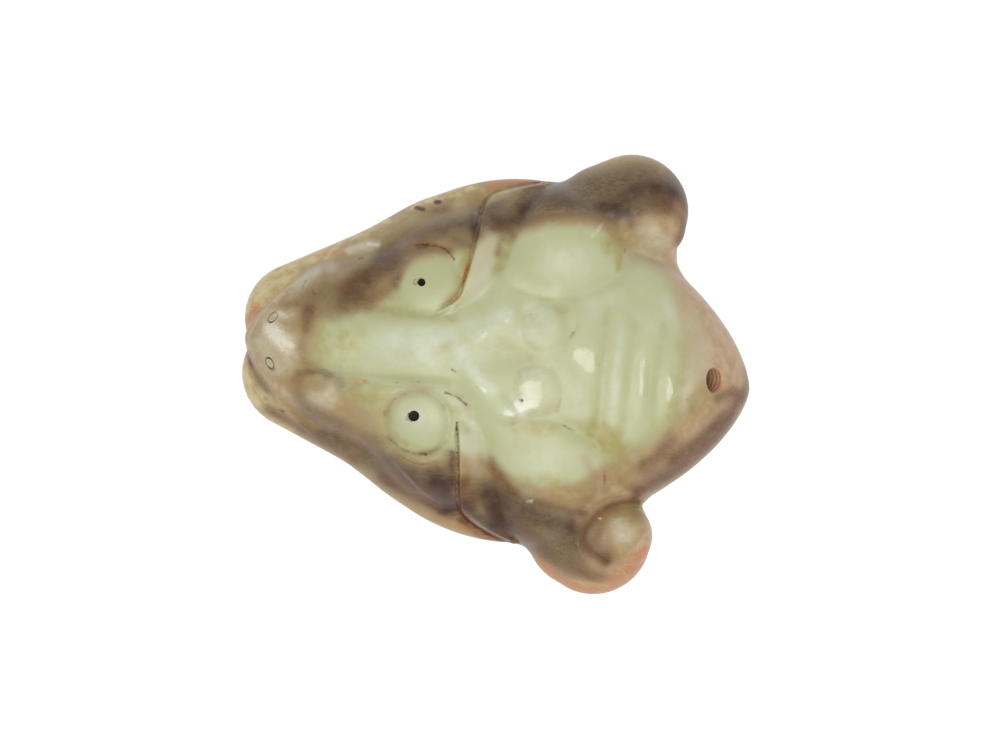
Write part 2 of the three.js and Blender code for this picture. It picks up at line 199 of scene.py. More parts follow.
def smooth_line(points, steps=7):
    p = np.array(points, float)
    p = np.vstack([2 * p[0] - p[1], p, 2 * p[-1] - p[-2]])
    line = []
    for a, b, c, d in zip(p, p[1:], p[2:], p[3:]):
        for t in np.arange(steps) / steps:
            bend = (c - a) * t + (2 * a - 5 * b + 4 * c - d) * t**2 + (3 * b - a - 3 * c + d) * t**3
            line.append(b + 0.5 * bend)
    return np.array([*line, p[-2]])


def nearest(x, y, line):
    """How far each point is from a line, on which side (left is positive), and how far along."""
    line = np.asarray(line, float)
    gap = np.full(x.shape, 1e9)
    side = np.ones(x.shape)
    share = np.zeros(x.shape)
    for i, (a, b) in enumerate(zip(line, line[1:])):
        d = b - a
        t = np.clip(((x - a[0]) * d[0] + (y - a[1]) * d[1]) / (d @ d), 0, 1)
        px = x - a[0] - t * d[0]
        py = y - a[1] - t * d[1]
        here = np.hypot(px, py)
        closer = here < gap
        gap = np.where(closer, here, gap)
        side = np.where(closer, np.sign(d[0] * py - d[1] * px), side)
        share = np.where(closer, (i + t) / (len(line) - 1), share)
    return gap, side, share


print("a bell 2 mm wide has fallen to", round(float(bell(2, 2)), 2), "of its height 2 mm out")

# %% The plan, as a fine grid
GRID_STEP = 0.15
GRID_HALF_LONG, GRID_HALF_WIDE = 54, 48
GRID_X = np.arange(-GRID_HALF_LONG, GRID_HALF_LONG, GRID_STEP)
GRID_Y = np.arange(-GRID_HALF_WIDE, GRID_HALF_WIDE, GRID_STEP)
plan_x, plan_y = np.meshgrid(GRID_X, GRID_Y, indexing="ij")


def around(points, margin):
    """The part of the grid within a margin of some points."""
    points = np.asarray(points, float)
    parts = []
    for values, lowest, highest in zip((GRID_X, GRID_Y), points.min(0), points.max(0)):
        parts.append(slice(*np.searchsorted(values, (lowest - margin, highest + margin))))
    return tuple(parts)


def beside(line, margin):
    """The part of the grid beside a line, and for its points the gap, side and share along."""
    part = around(line, margin)
    return part, *nearest(plan_x[part], plan_y[part], line)


def around_place(place, margin):
    """The part of the grid around a place, and how far its points lie from it in x and y."""
    part = around([place], margin)
    return part, plan_x[part] - place[0], plan_y[part] - place[1]


def look_up(table, x, y):
    """Reads a table of the plan at any point, between the grid's own points."""
    u = np.clip((x - GRID_X[0]) / GRID_STEP, 0, len(GRID_X) - 1.001)
    v = np.clip((y - GRID_Y[0]) / GRID_STEP, 0, len(GRID_Y) - 1.001)
    i, j = u.astype(int), v.astype(int)
    u, v = u - i, v - j
    near = table[i, j] * (1 - v) + table[i, j + 1] * v
    far = table[i + 1, j] * (1 - v) + table[i + 1, j + 1] * v
    return near * (1 - u) + far * u


relief = np.zeros(plan_x.shape)
fine_zone = np.zeros(plan_x.shape)


def needs_detail(part, amount):
    """Marks where the mesh has to be finer, from 0 to 1."""
    fine_zone[part] = np.maximum(fine_zone[part], amount)


def tell_relief(step):
    print(step, "done, the relief runs from", round(relief.min(), 2), "to", round(relief.max(), 2), "mm")


print("the plan has", plan_x.size, "points")

# %% [markdown]
# ### Nose and muzzle
#
# The ridge of the nose is a flat-topped band. Its upper edge is soft and its lower edge is crisp,
# with a stained groove beside it. Small swellings make the nose pad, the boss on the lower lip and
# the folds of the upper lip.

# %% Carve the nose
RIDGE = [(-38.5, 0), (-25, 0.6), (-9, 1.4)]
RIDGE_HALF, RIDGE_WIDENS, RIDGE_HIGH = 5.2, 1.2, 1.5
SOFT_EDGE, CRISP_EDGE = 1.8, 0.9
RIDGE_RISES, RIDGE_SINKS = (-43, -36.5), (-17, -4)
NOSE_GROOVE = smooth_line([(-39.5, -5.4), (-30.7, -6.4), (-22.7, -6.7), (-12.6, -6.2), (-8.7, -5.4)])
# depth and width: a soft hollow with a finer one in it
GROOVE_HOLLOWS = ((0.4, 1.6), (0.25, 0.6))
# place, reach along and across, and rise
SWELLS = [
    ((-37.8, 0), (2.6, 5.7), -0.9),
    ((-42.3, 0), (3.6, 4.5), 1.2),
    ((-34.0, -10.8), (2.8, 2.8), 1.5),
    ((-37.0, 11.5), (3.2, 3.2), 0.8),
    ((-30.0, 15.5), (3.6, 3.6), 0.9),
    ((2.2, 0.9), (4.6, 3.4), -0.8),
    ((3.4, -10.6), (2.4, 1.6), 0.3),
    ((38.4, -2.0), (3.6, 9.0), 0.8),
    ((41.2, 0.0), (2.6, 5.0), 0.6),
    ((46.6, 0.0), (2.4, 5.0), -0.6),
]
LIP_FALL, LIP_SHARP = 2.4, 0.4
# the line and its rise, with a minus sign where the lip stands on the right of the line
LIP_EDGES = [
    ([(-49.6, -1.6), (-47.6, 3.2), (-45.2, 7.2), (-40.2, 12.5), (-36.6, 15.3), (-33.4, 16.2)], -0.7),
    ([(-34.0, 17.2), (-30.2, 19.6), (-27.0, 20.5), (-24.8, 20.2)], -0.7),
    ([(-49.6, -2.0), (-47.8, -4.7), (-45.0, -8.5), (-42.1, -11.8), (-38.3, -15.6), (-33.5, -19)], 0.5),
    ([(-18.2, -21.4), (-15.3, -24.2), (-11.6, -27.4), (-7.5, -30.2)], 0.4),
]

part, gap, side, share = beside(RIDGE, margin=12)
edge = np.where(side > 0, SOFT_EDGE, CRISP_EDGE)
half = RIDGE_HALF + RIDGE_WIDENS * share
across = 1 - ease(half - edge, half + edge, gap)
x = plan_x[part]
relief[part] += RIDGE_HIGH * across * ease(*RIDGE_RISES, x) * (1 - ease(*RIDGE_SINKS, x))

part, gap, _, share = beside(NOSE_GROOVE, margin=5)
groove = sum(depth * bell(gap, width) for depth, width in GROOVE_HOLLOWS)
relief[part] -= groove * np.sqrt(np.sin(np.pi * share))

for place, spread, rise in SWELLS:
    part, x, y = around_place(place, margin=3 * max(spread))
    relief[part] += rise * bell(np.hypot(x / spread[0], y / spread[1]), 1)

for points_of_edge, rise in LIP_EDGES:
    part, gap, side, share = beside(smooth_line(points_of_edge), margin=6)
    inward = gap * side * np.sign(rise)
    lip = np.where(inward > 0, np.exp(-inward / LIP_FALL), bell(inward, LIP_SHARP))
    relief[part] += abs(rise) * lip * np.sin(np.pi * share) ** 0.5
    needs_detail(part, 0.6 * bell(gap, 1.4))
tell_relief("nose")

# %% [markdown]
# ### Eyes and bosses
#
# Each eye is a round button inside a groove. The lower eye's groove is deeper and holds more
# stain. The upper eye has a crescent lid line. Two smaller bosses sit on the forehead, and a low
# ridge runs to each from the bridge of the nose.

# %% Carve the eyes and the bosses
# place, radius, rise, depth and width of the groove round it, and how flat the top is
EYES = [((-15.0, 14.0), 6.3, 1.2, 0.12, 1.2, 2.3), ((-14.2, -13.6), 6.0, 1.3, 0.34, 0.8, 2.3)]
BOSSES = [((9.0, 7.1), 4.4, 0.5, 0.06, 1.4, 2.8), ((8.6, -5.4), 4.8, 0.38, 0.06, 1.4, 3.0)]
BRIDGE = (-8.5, 0.6)
ARMS = [(1.0, 8.6), (4.4, -10.4)]
ARM_HIGH, ARM_WIDE = 0.45, 2.8
LIDS = [
    smooth_line([(-18.4, 21.2), (-16.5, 21.7), (-14.2, 21.8), (-12.2, 21.4), (-10.9, 20.4), (-9.9, 19.2)]),
    smooth_line([(-7.6, -19.4), (-10.6, -21.4), (-14.0, -22.0), (-17.2, -20.6), (-18.6, -19.2)]),
]
LID_LIPS, LID_FALL = (0.4, 0.25), 1.3
LID_LINE_DEEP, LID_LINE_WIDE = 0.25, 0.35

for place, radius, rise, groove, width, flatness in EYES + BOSSES:
    part, x, y = around_place(place, margin=radius + 5)
    gap = np.hypot(x, y)
    ring = bell(gap - radius - width / 4, width)
    relief[part] += rise * mound(gap / (radius + 0.3), flatness) - groove * ring

for end in ARMS:
    part, gap, _, share = beside([BRIDGE, end], margin=8)
    relief[part] += ARM_HIGH * bell(gap, ARM_WIDE) * ease(0, 0.4, share)

for line, lip in zip(LIDS, LID_LIPS):
    part, gap, side, share = beside(line, margin=5)
    taper = np.sin(np.pi * share) ** 0.6
    cut_line = LID_LINE_DEEP * bell(gap, LID_LINE_WIDE)
    relief[part] += taper * (lip * np.exp(-gap / LID_FALL) * (side > 0) - cut_line)
    needs_detail(part, bell(gap, 1.0))
tell_relief("eyes")

# %% [markdown]
# ### Flaps, brow pads and ribs
#
# Behind each eye a leaf-shaped flap stands up from a deep dark crease and falls away to a soft
# valley. Behind the flaps lie two oval pads that step down towards the crest. The ribs of the crest
# are the strips left between four shallow grooves.

# %% Carve the flaps
FLAP_FOOT, FLAP_RISE, FLAP_CURVE = 0.15, 1.4, 1.3
CREASE_DEEP, CREASE_SHARP, CREASE_SOFT = 0.5, 0.4, 2.0
VALLEY_DEEP, VALLEY_WIDE = 0.55, 2.0
# which side the flap faces, the line of its crease and the line of its valley
FLAPS = [
    (
        1,
        [
            (-13.2, 8.3), (-8.9, 11.4), (-7.7, 15), (-6.6, 20.2), (-5.8, 26),
            (-5.3, 30.3), (-3.8, 32.8), (0, 34.5), (5.5, 36.1),
        ],
        [(-8.2, 9.6), (-4.3, 12.3), (-1.3, 17.0), (1.5, 25.9), (4.0, 31.6), (6.9, 35.6)],
    ),
    (
        -1,
        [
            (-6.6, -12), (-6.1, -16), (-5.6, -20), (-5.0, -26),
            (-4.5, -29.2), (-4.0, -30.8), (-2.0, -32.6), (1.4, -34.3), (6.0, -35.9),
        ],
        [(-9.4, -7.3), (-4.6, -9.6), (-2.0, -14.0), (1.1, -21.5), (3.2, -28.2), (6.8, -34.9)],
    ),
]

for facing, crease, valley in FLAPS:
    crease, valley = smooth_line(crease), smooth_line(valley)
    part = around(np.vstack([crease, valley]), margin=6)
    x, y = plan_x[part], plan_y[part]
    gap, side, share = nearest(x, y, crease)
    back_gap, back_side, back_share = nearest(x, y, valley)
    behind = -gap * side * facing
    before = back_gap * back_side * facing
    inside = ease(0.0, 0.5, behind) * ease(-0.3, 0.6, before)
    rise = np.clip(before / (gap + back_gap), 0, 1) ** FLAP_CURVE
    start = ease(0, 0.12, share)
    relief[part] += inside * start * (FLAP_FOOT + FLAP_RISE * rise)
    front = CREASE_DEEP * bell(gap, CREASE_SOFT) * (behind < 0)
    relief[part] -= start * (CREASE_DEEP * bell(gap, CREASE_SHARP) + front)
    relief[part] -= VALLEY_DEEP * ease(0, 0.15, back_share) * bell(back_gap, VALLEY_WIDE)
    needs_detail(part, bell(gap, 1.3))
tell_relief("flaps")

# %% Carve the brow pads and the ribs
PAD_HIGH, PAD_STEP = 1.5, 0.6
RIB_GROOVE_DEEP, RIB_GROOVE_WIDE = 0.36, 1.5
# centre, radii along and across, and turn in degrees
PADS = [((11.2, 22.4), (12.0, 7.8), 8), ((12.4, -20.8), (11.4, 8.6), -10)]
RIB_GROOVES = [21.2, 26.8, 32.3, 37.6]

for place, radii, turn in PADS:
    part, x, y = around_place(place, margin=radii[0] + 5)
    angle = math.radians(turn)
    u = (x * math.cos(angle) + y * math.sin(angle)) / radii[0]
    v = (y * math.cos(angle) - x * math.sin(angle)) / radii[1]
    out = np.hypot(u, v)
    fall = bell((out - 1.06) * radii[1], 1.3) * ease(-0.3, 0.8, u)
    relief[part] += PAD_HIGH * mound(out / 1.15) - PAD_STEP * fall

part = around([(18, -16), (42, 18)], margin=1)
x, y = plan_x[part], plan_y[part]
fade = ease(-15.5, -9.5, y) * (1 - ease(11, 18, y)) * ease(18.5, 22, x) * (1 - ease(38, 41.5, x))
relief[part] -= RIB_GROOVE_DEEP * sum(bell(x - groove, RIB_GROOVE_WIDE) for groove in RIB_GROOVES) * fade
tell_relief("pads and ribs")

# %% [markdown]
# ### The hand-made surface
#
# A surface ground by hand is never exact. A sum of long, very low waves, with fixed directions from
# a seeded draw, makes the polish wander as it does on the real mask, so that reflections break up.

# %% Low waves over the whole face
draw = np.random.default_rng(7)
WAVES, SHORTEST, LONGEST = 26, 5.0, 18.0
STEEPNESS = 0.004
for length in np.geomspace(SHORTEST, LONGEST, WAVES):
    angle, phase = draw.uniform(0, 2 * np.pi, 2)
    along = plan_x * math.cos(angle) + plan_y * math.sin(angle)
    relief += STEEPNESS * length * np.cos(2 * np.pi * along / length + phase) / math.sqrt(WAVES / 8)
tell_relief("waves")

# %% [markdown]
# ## The whole form
#
# The relief is laid on the roughed-out stone above a certain height only, so the underside stays
# plain. The balls of the ears are cut in last: first a cup, then the ball in it. The back is flat,
# with its edge rubbed round, and the mouth of the cord hole is flared. All this could be done with
# boolean solids, but one formula gives soft edges everywhere, and any point can ask it for depth.

# %% One formula for the mask
# centre, radius, gap and soft join round the ball, height of the ear's rim, and the way it opens
EAR_BALLS = [
    ((28.8, 29.6, 16.6), 6.4, 0.35, 1.4, 0.3, -1.2),
    ((27.8, -32.5, 16.6), 6.6, 0.6, 1.4, 1.1, -0.7),
]
BALL_TALLER = 1.08
CUP_EDGE, BACK_EDGE, MOUTH_EDGE = 0.8, 1.2, 0.7
FLARE, FLARE_LONG, FLARE_BELOW = 0.1, 5, 3
RELIEF_FROM, RELIEF_FULL = 11, 19
RIM_OUT, RIM_WIDE = 2.0, 1.2
HOLE_AT = np.array((43.15, 0.1, 25.8))
HOLE_RADIUS, HOLE_TILT = 2.45, math.radians(42)
HOLE_WAY = np.array((math.sin(HOLE_TILT), 0, math.cos(HOLE_TILT)))

for place, radius, _, _, rim, opens in EAR_BALLS:
    part, x, y = around_place(place[:2], margin=radius + 6)
    gap = np.hypot(x, y)
    rise = rim * bell(gap - radius - RIM_OUT, RIM_WIDE)
    relief[part] += rise * (0.5 - 0.5 * np.cos(np.arctan2(y, x) - opens))
    needs_detail(part, bell(gap - radius, 1.5))

part, x, y = around_place(HOLE_AT[:2], margin=5)
needs_detail(part, 0.7 * bell(np.hypot(x, y) - 2, 1.2))


def form(p):
    """The distance from the finished surface, negative inside the stone."""
    share = ease(RELIEF_FROM, RELIEF_FULL, p[:, 2])
    distance = roughed_out(p) - look_up(relief, p[:, 0], p[:, 1]) * share
    for place, radius, cup, softness, *_ in EAR_BALLS:
        ball = np.linalg.norm((p - place) / (1, 1, BALL_TALLER), axis=1) - radius
        distance = join(cut(distance, cup - ball, CUP_EDGE), ball, softness)
    along = (p - HOLE_AT) @ HOLE_WAY
    out = np.linalg.norm(p - HOLE_AT - along[:, None] * HOLE_WAY, axis=1)
    flare = out - HOLE_RADIUS + FLARE - FLARE * np.clip(along + 1, 0, FLARE_LONG)
    distance = np.where(along > -FLARE_BELOW, cut(distance, -flare, MOUTH_EDGE), distance)
    return cut(distance, -p[:, 2], BACK_EDGE)


def slope(p, touch=0.05):
    return np.stack([form(p + touch * axis) - form(p - touch * axis) for axis in np.eye(3)], 1) / (2 * touch)


def settle(p):
    """Moves points straight onto the form."""
    grade = slope(p)
    move = np.clip(form(p) / np.maximum((grade**2).sum(1), 0.2), -1, 1)
    return p - grade * move[:, None]


def surface_at(x, y):
    """The height of the stone above a place in the plan."""
    heights = np.arange(5, 40, 0.02)
    inside = form(np.stack([np.full(heights.shape, x), np.full(heights.shape, y), heights], 1)) < 0
    return heights[inside].max()


for place, x, y in (("nose", -43, 0), ("upper eye", -14, 15), ("crest", 30, 0)):
    print("the", place, "stands", round(surface_at(x, y), 1), "mm high")

# %% [markdown]
# ## Laying the mesh over the form
#
# A ball of triangles is shrunk onto the mask: every corner comes in from outside along a ray until
# it meets the stone. Then the corners are evened out, each moving towards its neighbours and back
# onto the form. The triangles are split in four, and split again where the carving is fine.

# %% Shrink a ball of triangles onto the mask
HEART = np.array((0.0, 0.0, 5.0))
UPWARD = 0.5
START_OUT = 66.0
LEAST_STEP, STEP_SHARE, HALVINGS = 0.12, 0.6, 10
BACK_KEEPS = 0.4


def ball_of_triangles(rounds):
    ball = bmesh.new()
    bmesh.ops.create_icosphere(ball, subdivisions=rounds, radius=1.0)
    corners = np.array([v.co[:] for v in ball.verts])
    faces = np.array([[v.index for v in face.verts] for face in ball.faces])
    ball.free()
    return corners, faces


def shrink_on(corners):
    """Brings each corner in along its ray to the stone; the rays lean up, where the carving is."""
    way = corners + (0, 0, UPWARD)
    way /= np.linalg.norm(way, axis=1)[:, None]
    outer = np.full(len(way), START_OUT)
    inner = outer.copy()
    open_rays = np.arange(len(way))
    while len(open_rays):
        gap = form(HEART + way[open_rays] * inner[open_rays, None])
        open_rays, gap = open_rays[gap > 0], gap[gap > 0]
        outer[open_rays] = inner[open_rays]
        inner[open_rays] -= np.maximum(LEAST_STEP, STEP_SHARE * gap)
    for _ in range(HALVINGS):
        middle = (outer + inner) / 2
        outside = form(HEART + way * middle[:, None]) > 0
        outer = np.where(outside, middle, outer)
        inner = np.where(outside, inner, middle)
    return HEART + way * outer[:, None]


def edges_of(faces):
    """Every edge once, and for each side of each triangle which edge it is."""
    pairs = np.sort(faces[:, [0, 1, 1, 2, 2, 0]].reshape(-1, 2), axis=1)
    return np.unique(pairs, axis=0, return_inverse=True)


def even_out(points, faces, rounds):
    pairs, _ = edges_of(faces)
    a, b = np.concatenate([pairs, pairs[:, ::-1]]).T
    count = np.bincount(a, minlength=len(points))
    for _ in range(rounds):
        middles = np.stack([np.bincount(a, points[b, k], len(points)) for k in range(3)], 1) / count[:, None]
        moving = points[:, 2] > BACK_KEEPS
        points[moving] = settle((points[moving] + middles[moving]) / 2)
    return points


corners, faces = ball_of_triangles(rounds=6)
points = shrink_on(corners)
points = even_out(points, faces, rounds=24)
print("first skin:", len(faces), "triangles")

# %% Split the triangles where the carving is fine
CARVED_ABOVE, FACE_ABOVE = 12, 13


def split(points, faces, wanted):
    """Splits every wanted triangle in four, and its neighbours so that no gap opens."""
    pairs, which = edges_of(faces)
    which = which.reshape(-1, 3)
    halved = np.zeros(len(pairs), bool)
    halved[which[wanted]] = True
    while True:
        two = halved[which].sum(1) == 2
        if not two.any():
            break
        halved[which[two]] = True
    new_index = np.full(len(pairs), -1)
    new_index[halved] = len(points) + np.arange(halved.sum())
    middles = points[pairs[halved]].mean(1)
    number = halved[which].sum(1)
    kept = faces[number == 0]
    a, b, c = faces[number == 3].T
    ab, bc, ca = new_index[which[number == 3]].T
    quarters = np.concatenate([np.stack(t, 1) for t in ((a, ab, ca), (ab, b, bc), (ca, bc, c), (ab, bc, ca))])
    one, one_edges = faces[number == 1], which[number == 1]
    turn = halved[one_edges].argmax(1)
    rows = np.arange(len(one))
    a, b, c = (one[rows, (turn + k) % 3] for k in range(3))
    middle = new_index[one_edges[rows, turn]]
    halves = np.concatenate([np.stack((a, middle, c), 1), np.stack((middle, b, c), 1)])
    return np.vstack([points, settle(middles)]), np.concatenate([kept, quarters, halves])


def fineness(points, faces):
    middles = points[faces].mean(1)
    return look_up(fine_zone, middles[:, 0], middles[:, 1]) * (middles[:, 2] > CARVED_ABOVE)


middles = points[faces].mean(1)
wanted = (middles[:, 2] > FACE_ABOVE) | (fineness(points, faces) > 0.05)
points, faces = split(points, faces, wanted)
points = even_out(points, faces, rounds=3)
print("second skin:", len(faces), "triangles")

# %% Split twice more along the creases and the rims
for finest, rounds in ((0.35, 3), (0.68, 2)):
    points, faces = split(points, faces, fineness(points, faces) > finest)
    points = even_out(points, faces, rounds)
print("fine skin:", len(faces), "triangles,", "highest point", round(points[:, 2].max(), 2), "mm")

# %% The skin as one mesh in the frame
def make_mesh(name, corners_mm, polygons):
    mesh = bpy.data.meshes.new(name)
    mesh.from_pydata((np.asarray(corners_mm) * MM).tolist(), [], np.asarray(polygons).tolist())
    mesh.update()
    return mesh


# The frame's origin is under the middle of the outline, a little beside the middle line of the face.
MIDDLE = np.array((0.05, -0.55, 0.0))
mask = put("beast_mask_carving", make_mesh("beast_mask_carving", points - MIDDLE, faces))

# %% [markdown]
# ## Drilled holes
#
# The pupils were sunk with a solid drill, the nostrils are the rings that a tubular drill leaves,
# and the cord hole was bored at a slant, its wall scored by the turning drill. Each drill is a
# profile turned round its own axis, and a boolean modifier takes it out of the stone.

# %% Drills, as turned profiles
def turned(name, place, way, profile, sides=32):
    """A closed solid turned round an axis; a radius may be a number, or one number for each side."""
    way = np.array(way, float) / np.linalg.norm(way)
    across = np.cross(way, (0, 1, 0))
    across /= np.linalg.norm(across)
    other = np.cross(way, across)
    angles = 2 * np.pi * np.arange(sides) / sides
    ring = np.cos(angles)[:, None] * across + np.sin(angles)[:, None] * other
    rows = [np.broadcast_to(radius, sides)[:, None] * ring + way * height for radius, height in profile]
    row, side = (n.ravel() for n in np.meshgrid(np.arange(len(rows)), np.arange(sides), indexing="ij"))
    next_row, next_side = (row + 1) % len(rows), (side + 1) % sides
    here, above = row * sides, next_row * sides
    walls = np.stack((here + side, here + next_side, above + next_side, above + side), 1)
    solid = make_mesh(name, np.concatenate(rows) + place - MIDDLE, walls)
    shell = bmesh.new()
    shell.from_mesh(solid)
    bmesh.ops.remove_doubles(shell, verts=shell.verts, dist=1e-3 * MM)
    bmesh.ops.triangulate(shell, faces=shell.faces)
    bmesh.ops.recalc_face_normals(shell, faces=shell.faces)
    shell.to_mesh(solid)
    shell.free()
    return put(name, solid)


CLEAR = 3
TIP_LONG, TIP_WIDE = 0.5, 0.92


def solid_drill(name, at, radius, depth, way=(0, 0, 1)):
    """A drill with a blunt cone at its tip, standing clear of the stone at its other end."""
    place = (*at, surface_at(*at))
    shoulder = (radius * TIP_WIDE, TIP_LONG * radius - depth)
    return turned(name, place, way, [(0, -depth), shoulder, (radius, CLEAR), (0, CLEAR)])


def tube_drill(name, at, inner, outer, depth, way):
    place = (*at, surface_at(*at))
    return turned(name, place, way, [(inner, -depth), (outer, -depth), (outer, CLEAR), (inner, CLEAR)])


# %% Bore the holes
# place, radius and depth; beside each pupil is the shallow nick of a slipped drill
PUPILS = [
    ((-16.0, 13.9), 0.82, 2.6),
    ((-17.0, 13.8), 0.62, 0.3),
    ((-15.0, -12.5), 1.12, 2.6),
    ((-16.0, -12.7), 0.8, 0.3),
]
NOSTRILS = [(-44.8, 4.3), (-44.6, -4.8)]
NOSTRIL_RING = (0.86, 1.26)
NOSTRIL_DEEP = 0.8
NOSTRIL_WAY = (-0.74, 0, 0.67)
SPECK = ((6.0, -7.4), 0.28, 0.6)

drills = [solid_drill(f"pupil_drill_{k}", *hole_shade) for k, hole_shade in enumerate(PUPILS)]
for k, at in enumerate(NOSTRILS):
    drills.append(tube_drill(f"nostril_drill_{k}", at, *NOSTRIL_RING, NOSTRIL_DEEP, NOSTRIL_WAY))
drills.append(solid_drill("speck_drill", *SPECK))

HOLE_SIDES, SCORE_PITCH, SCORE_DEEP = 36, 1.1, 0.09
HOLE_FROM, HOLE_TO = -42, 5
turn_of_side = np.arange(HOLE_SIDES) / HOLE_SIDES
scored = [(0, HOLE_FROM)]
for height in np.arange(HOLE_FROM, HOLE_TO, SCORE_PITCH / 4):
    wave = np.cos(2 * np.pi * (height / SCORE_PITCH - turn_of_side))
    scored.append((HOLE_RADIUS + SCORE_DEEP * wave, height))
scored.append((0, scored[-1][1]))
drills.append(turned("cord_hole_drill", HOLE_AT, HOLE_WAY, scored, HOLE_SIDES))
print(len(drills), "drills")

# %% Take the drills out of the stone
for drill in drills:
    bore = mask.modifiers.new(drill.name, "BOOLEAN")
    bore.operation = "DIFFERENCE"
    bore.solver = "MANIFOLD"
    bore.object = drill
bored = bpy.data.meshes.new_from_object(mask.evaluated_get(bpy.context.evaluated_depsgraph_get()))
mask.modifiers.clear()
mask.data = bored
for drill in drills:
    bpy.data.objects.remove(drill)

SHARP = math.radians(42)
check = bmesh.new()
check.from_mesh(bored)
bmesh.ops.triangulate(check, faces=check.faces)
for face in check.faces:
    face.smooth = True
for edge in check.edges:
    edge.smooth = edge.calc_face_angle(0) < SHARP
print("open edges", sum(not edge.is_manifold for edge in check.edges), "- triangles", len(check.faces))
check.to_mesh(bored)
check.free()

# %% [markdown]
# ## The skin of the pebble
#
# Inside, the stone is pale green. Its outer skin is stained: smoky grey bands along the muzzle, the
# cheeks and the ears, ochre on the jaws, rust at some edges and a rosy beige on the crest. The
# stains could be one noise pattern, but then they would fall anywhere. So each is laid on with
# strokes over the plan, as a restorer would tint a cast, and noise only frays its edge. The same
# strokes also lay painted shade and painted highlights.

# %% How a stroke of stain, painted shade or painted highlight is laid
tables = {}


def stroke(table, points, width, strength):
    part, gap, _, _ = beside(smooth_line(points, steps=4), margin=2.6 * width)
    table[part] = 1 - (1 - table[part]) * (1 - strength * bell(gap, width))


def lay(name, strokes):
    """Fills one layer's table with strokes (stains, painted shade and painted highlights): points, width in
    millimetres, strength up to 1.
    """
    tables[name] = np.zeros(plan_x.shape)
    for points_of_stroke, width, strength in strokes:
        stroke(tables[name], points_of_stroke, width, strength)
    print(name, "covers", round(float((tables[name] > 0.3).mean() * 100), 1), "% of the plan")


# %% [markdown]
# ### In the green stone
#
# Clouds are the milky parts of the pebble, and they also paint sheen and highlights where the lamp
# shines: on the bridge, the eyes, the brow pads, the bosses and the high parts of the ribs. Olive is
# the deeper, yellower stone, and it also paints shade in the grooves of the ribs, along the creases
# and valleys of the flaps and round the eyes.

# %% Clouds, with painted sheen and highlights
lay("cloud_and_sheen", [
    ([(-20.5, 1), (-13, 1.5)], 4.4, 0.7), ([(9, 21.5), (15, 21)], 4.6, 0.4),
    ([(8, -18.5), (14, -19)], 5, 0.28), ([(-16, 10.5), (-13, 11)], 3, 0.2),
    ([(-15.5, -12.5), (-14, -13.5)], 3.2, 0.6), ([(6, 6.5), (9, 7.5)], 3.4, 0.5),
    ([(-4, 5), (1, 9)], 1.8, 0.6), ([(-7, 1), (-5, -2), (0, -6)], 1.8, 0.6),
    ([(18, 13), (23, 15)], 3.4, 0.35), ([(24.2, 8), (24.2, -10)], 1.3, 0.5),
    ([(29.6, 8), (29.6, -12)], 1.4, 0.1), ([(35, 6), (35, -8)], 1.6, 0.15), ([(17, 5), (17, -8)], 2.8, 0.3),
    ([(-4.4, 13), (-4, 20)], 1.6, 0.6), ([(-4.2, -13.5), (-2.6, -18)], 1.6, 0.6),
    ([(39.5, 6), (40.5, 0)], 2.2, 0.5), ([(3, -10), (6, -10.5)], 1.6, 0.8),
    ([(6, -1.2), (9.5, -1.6)], 1.6, 0.5), ([(5.5, 10.6), (9, 11)], 1.6, 0.5),
    ([(33, 14.5), (35, 10)], 2.2, 0.6), ([(27, 11.5), (30, 9.5)], 1.8, 0.45), ([(-9, 4), (-5, 7)], 2, 0.4),
    ([(-2, 8.5), (1, 9.5)], 1.6, 0.4), ([(12, -4), (14, 0)], 2.4, 0.2), ([(-7, -1), (-2, 0.4)], 2, 0.35),
    ([(4, -6.4), (5, -8.4)], 1, 0.5), ([(-47.2, 10.2), (-45.8, 10.8)], 1.1, 0.35),
    ([(22, -22), (23, -23)], 1.2, 0.16),
])
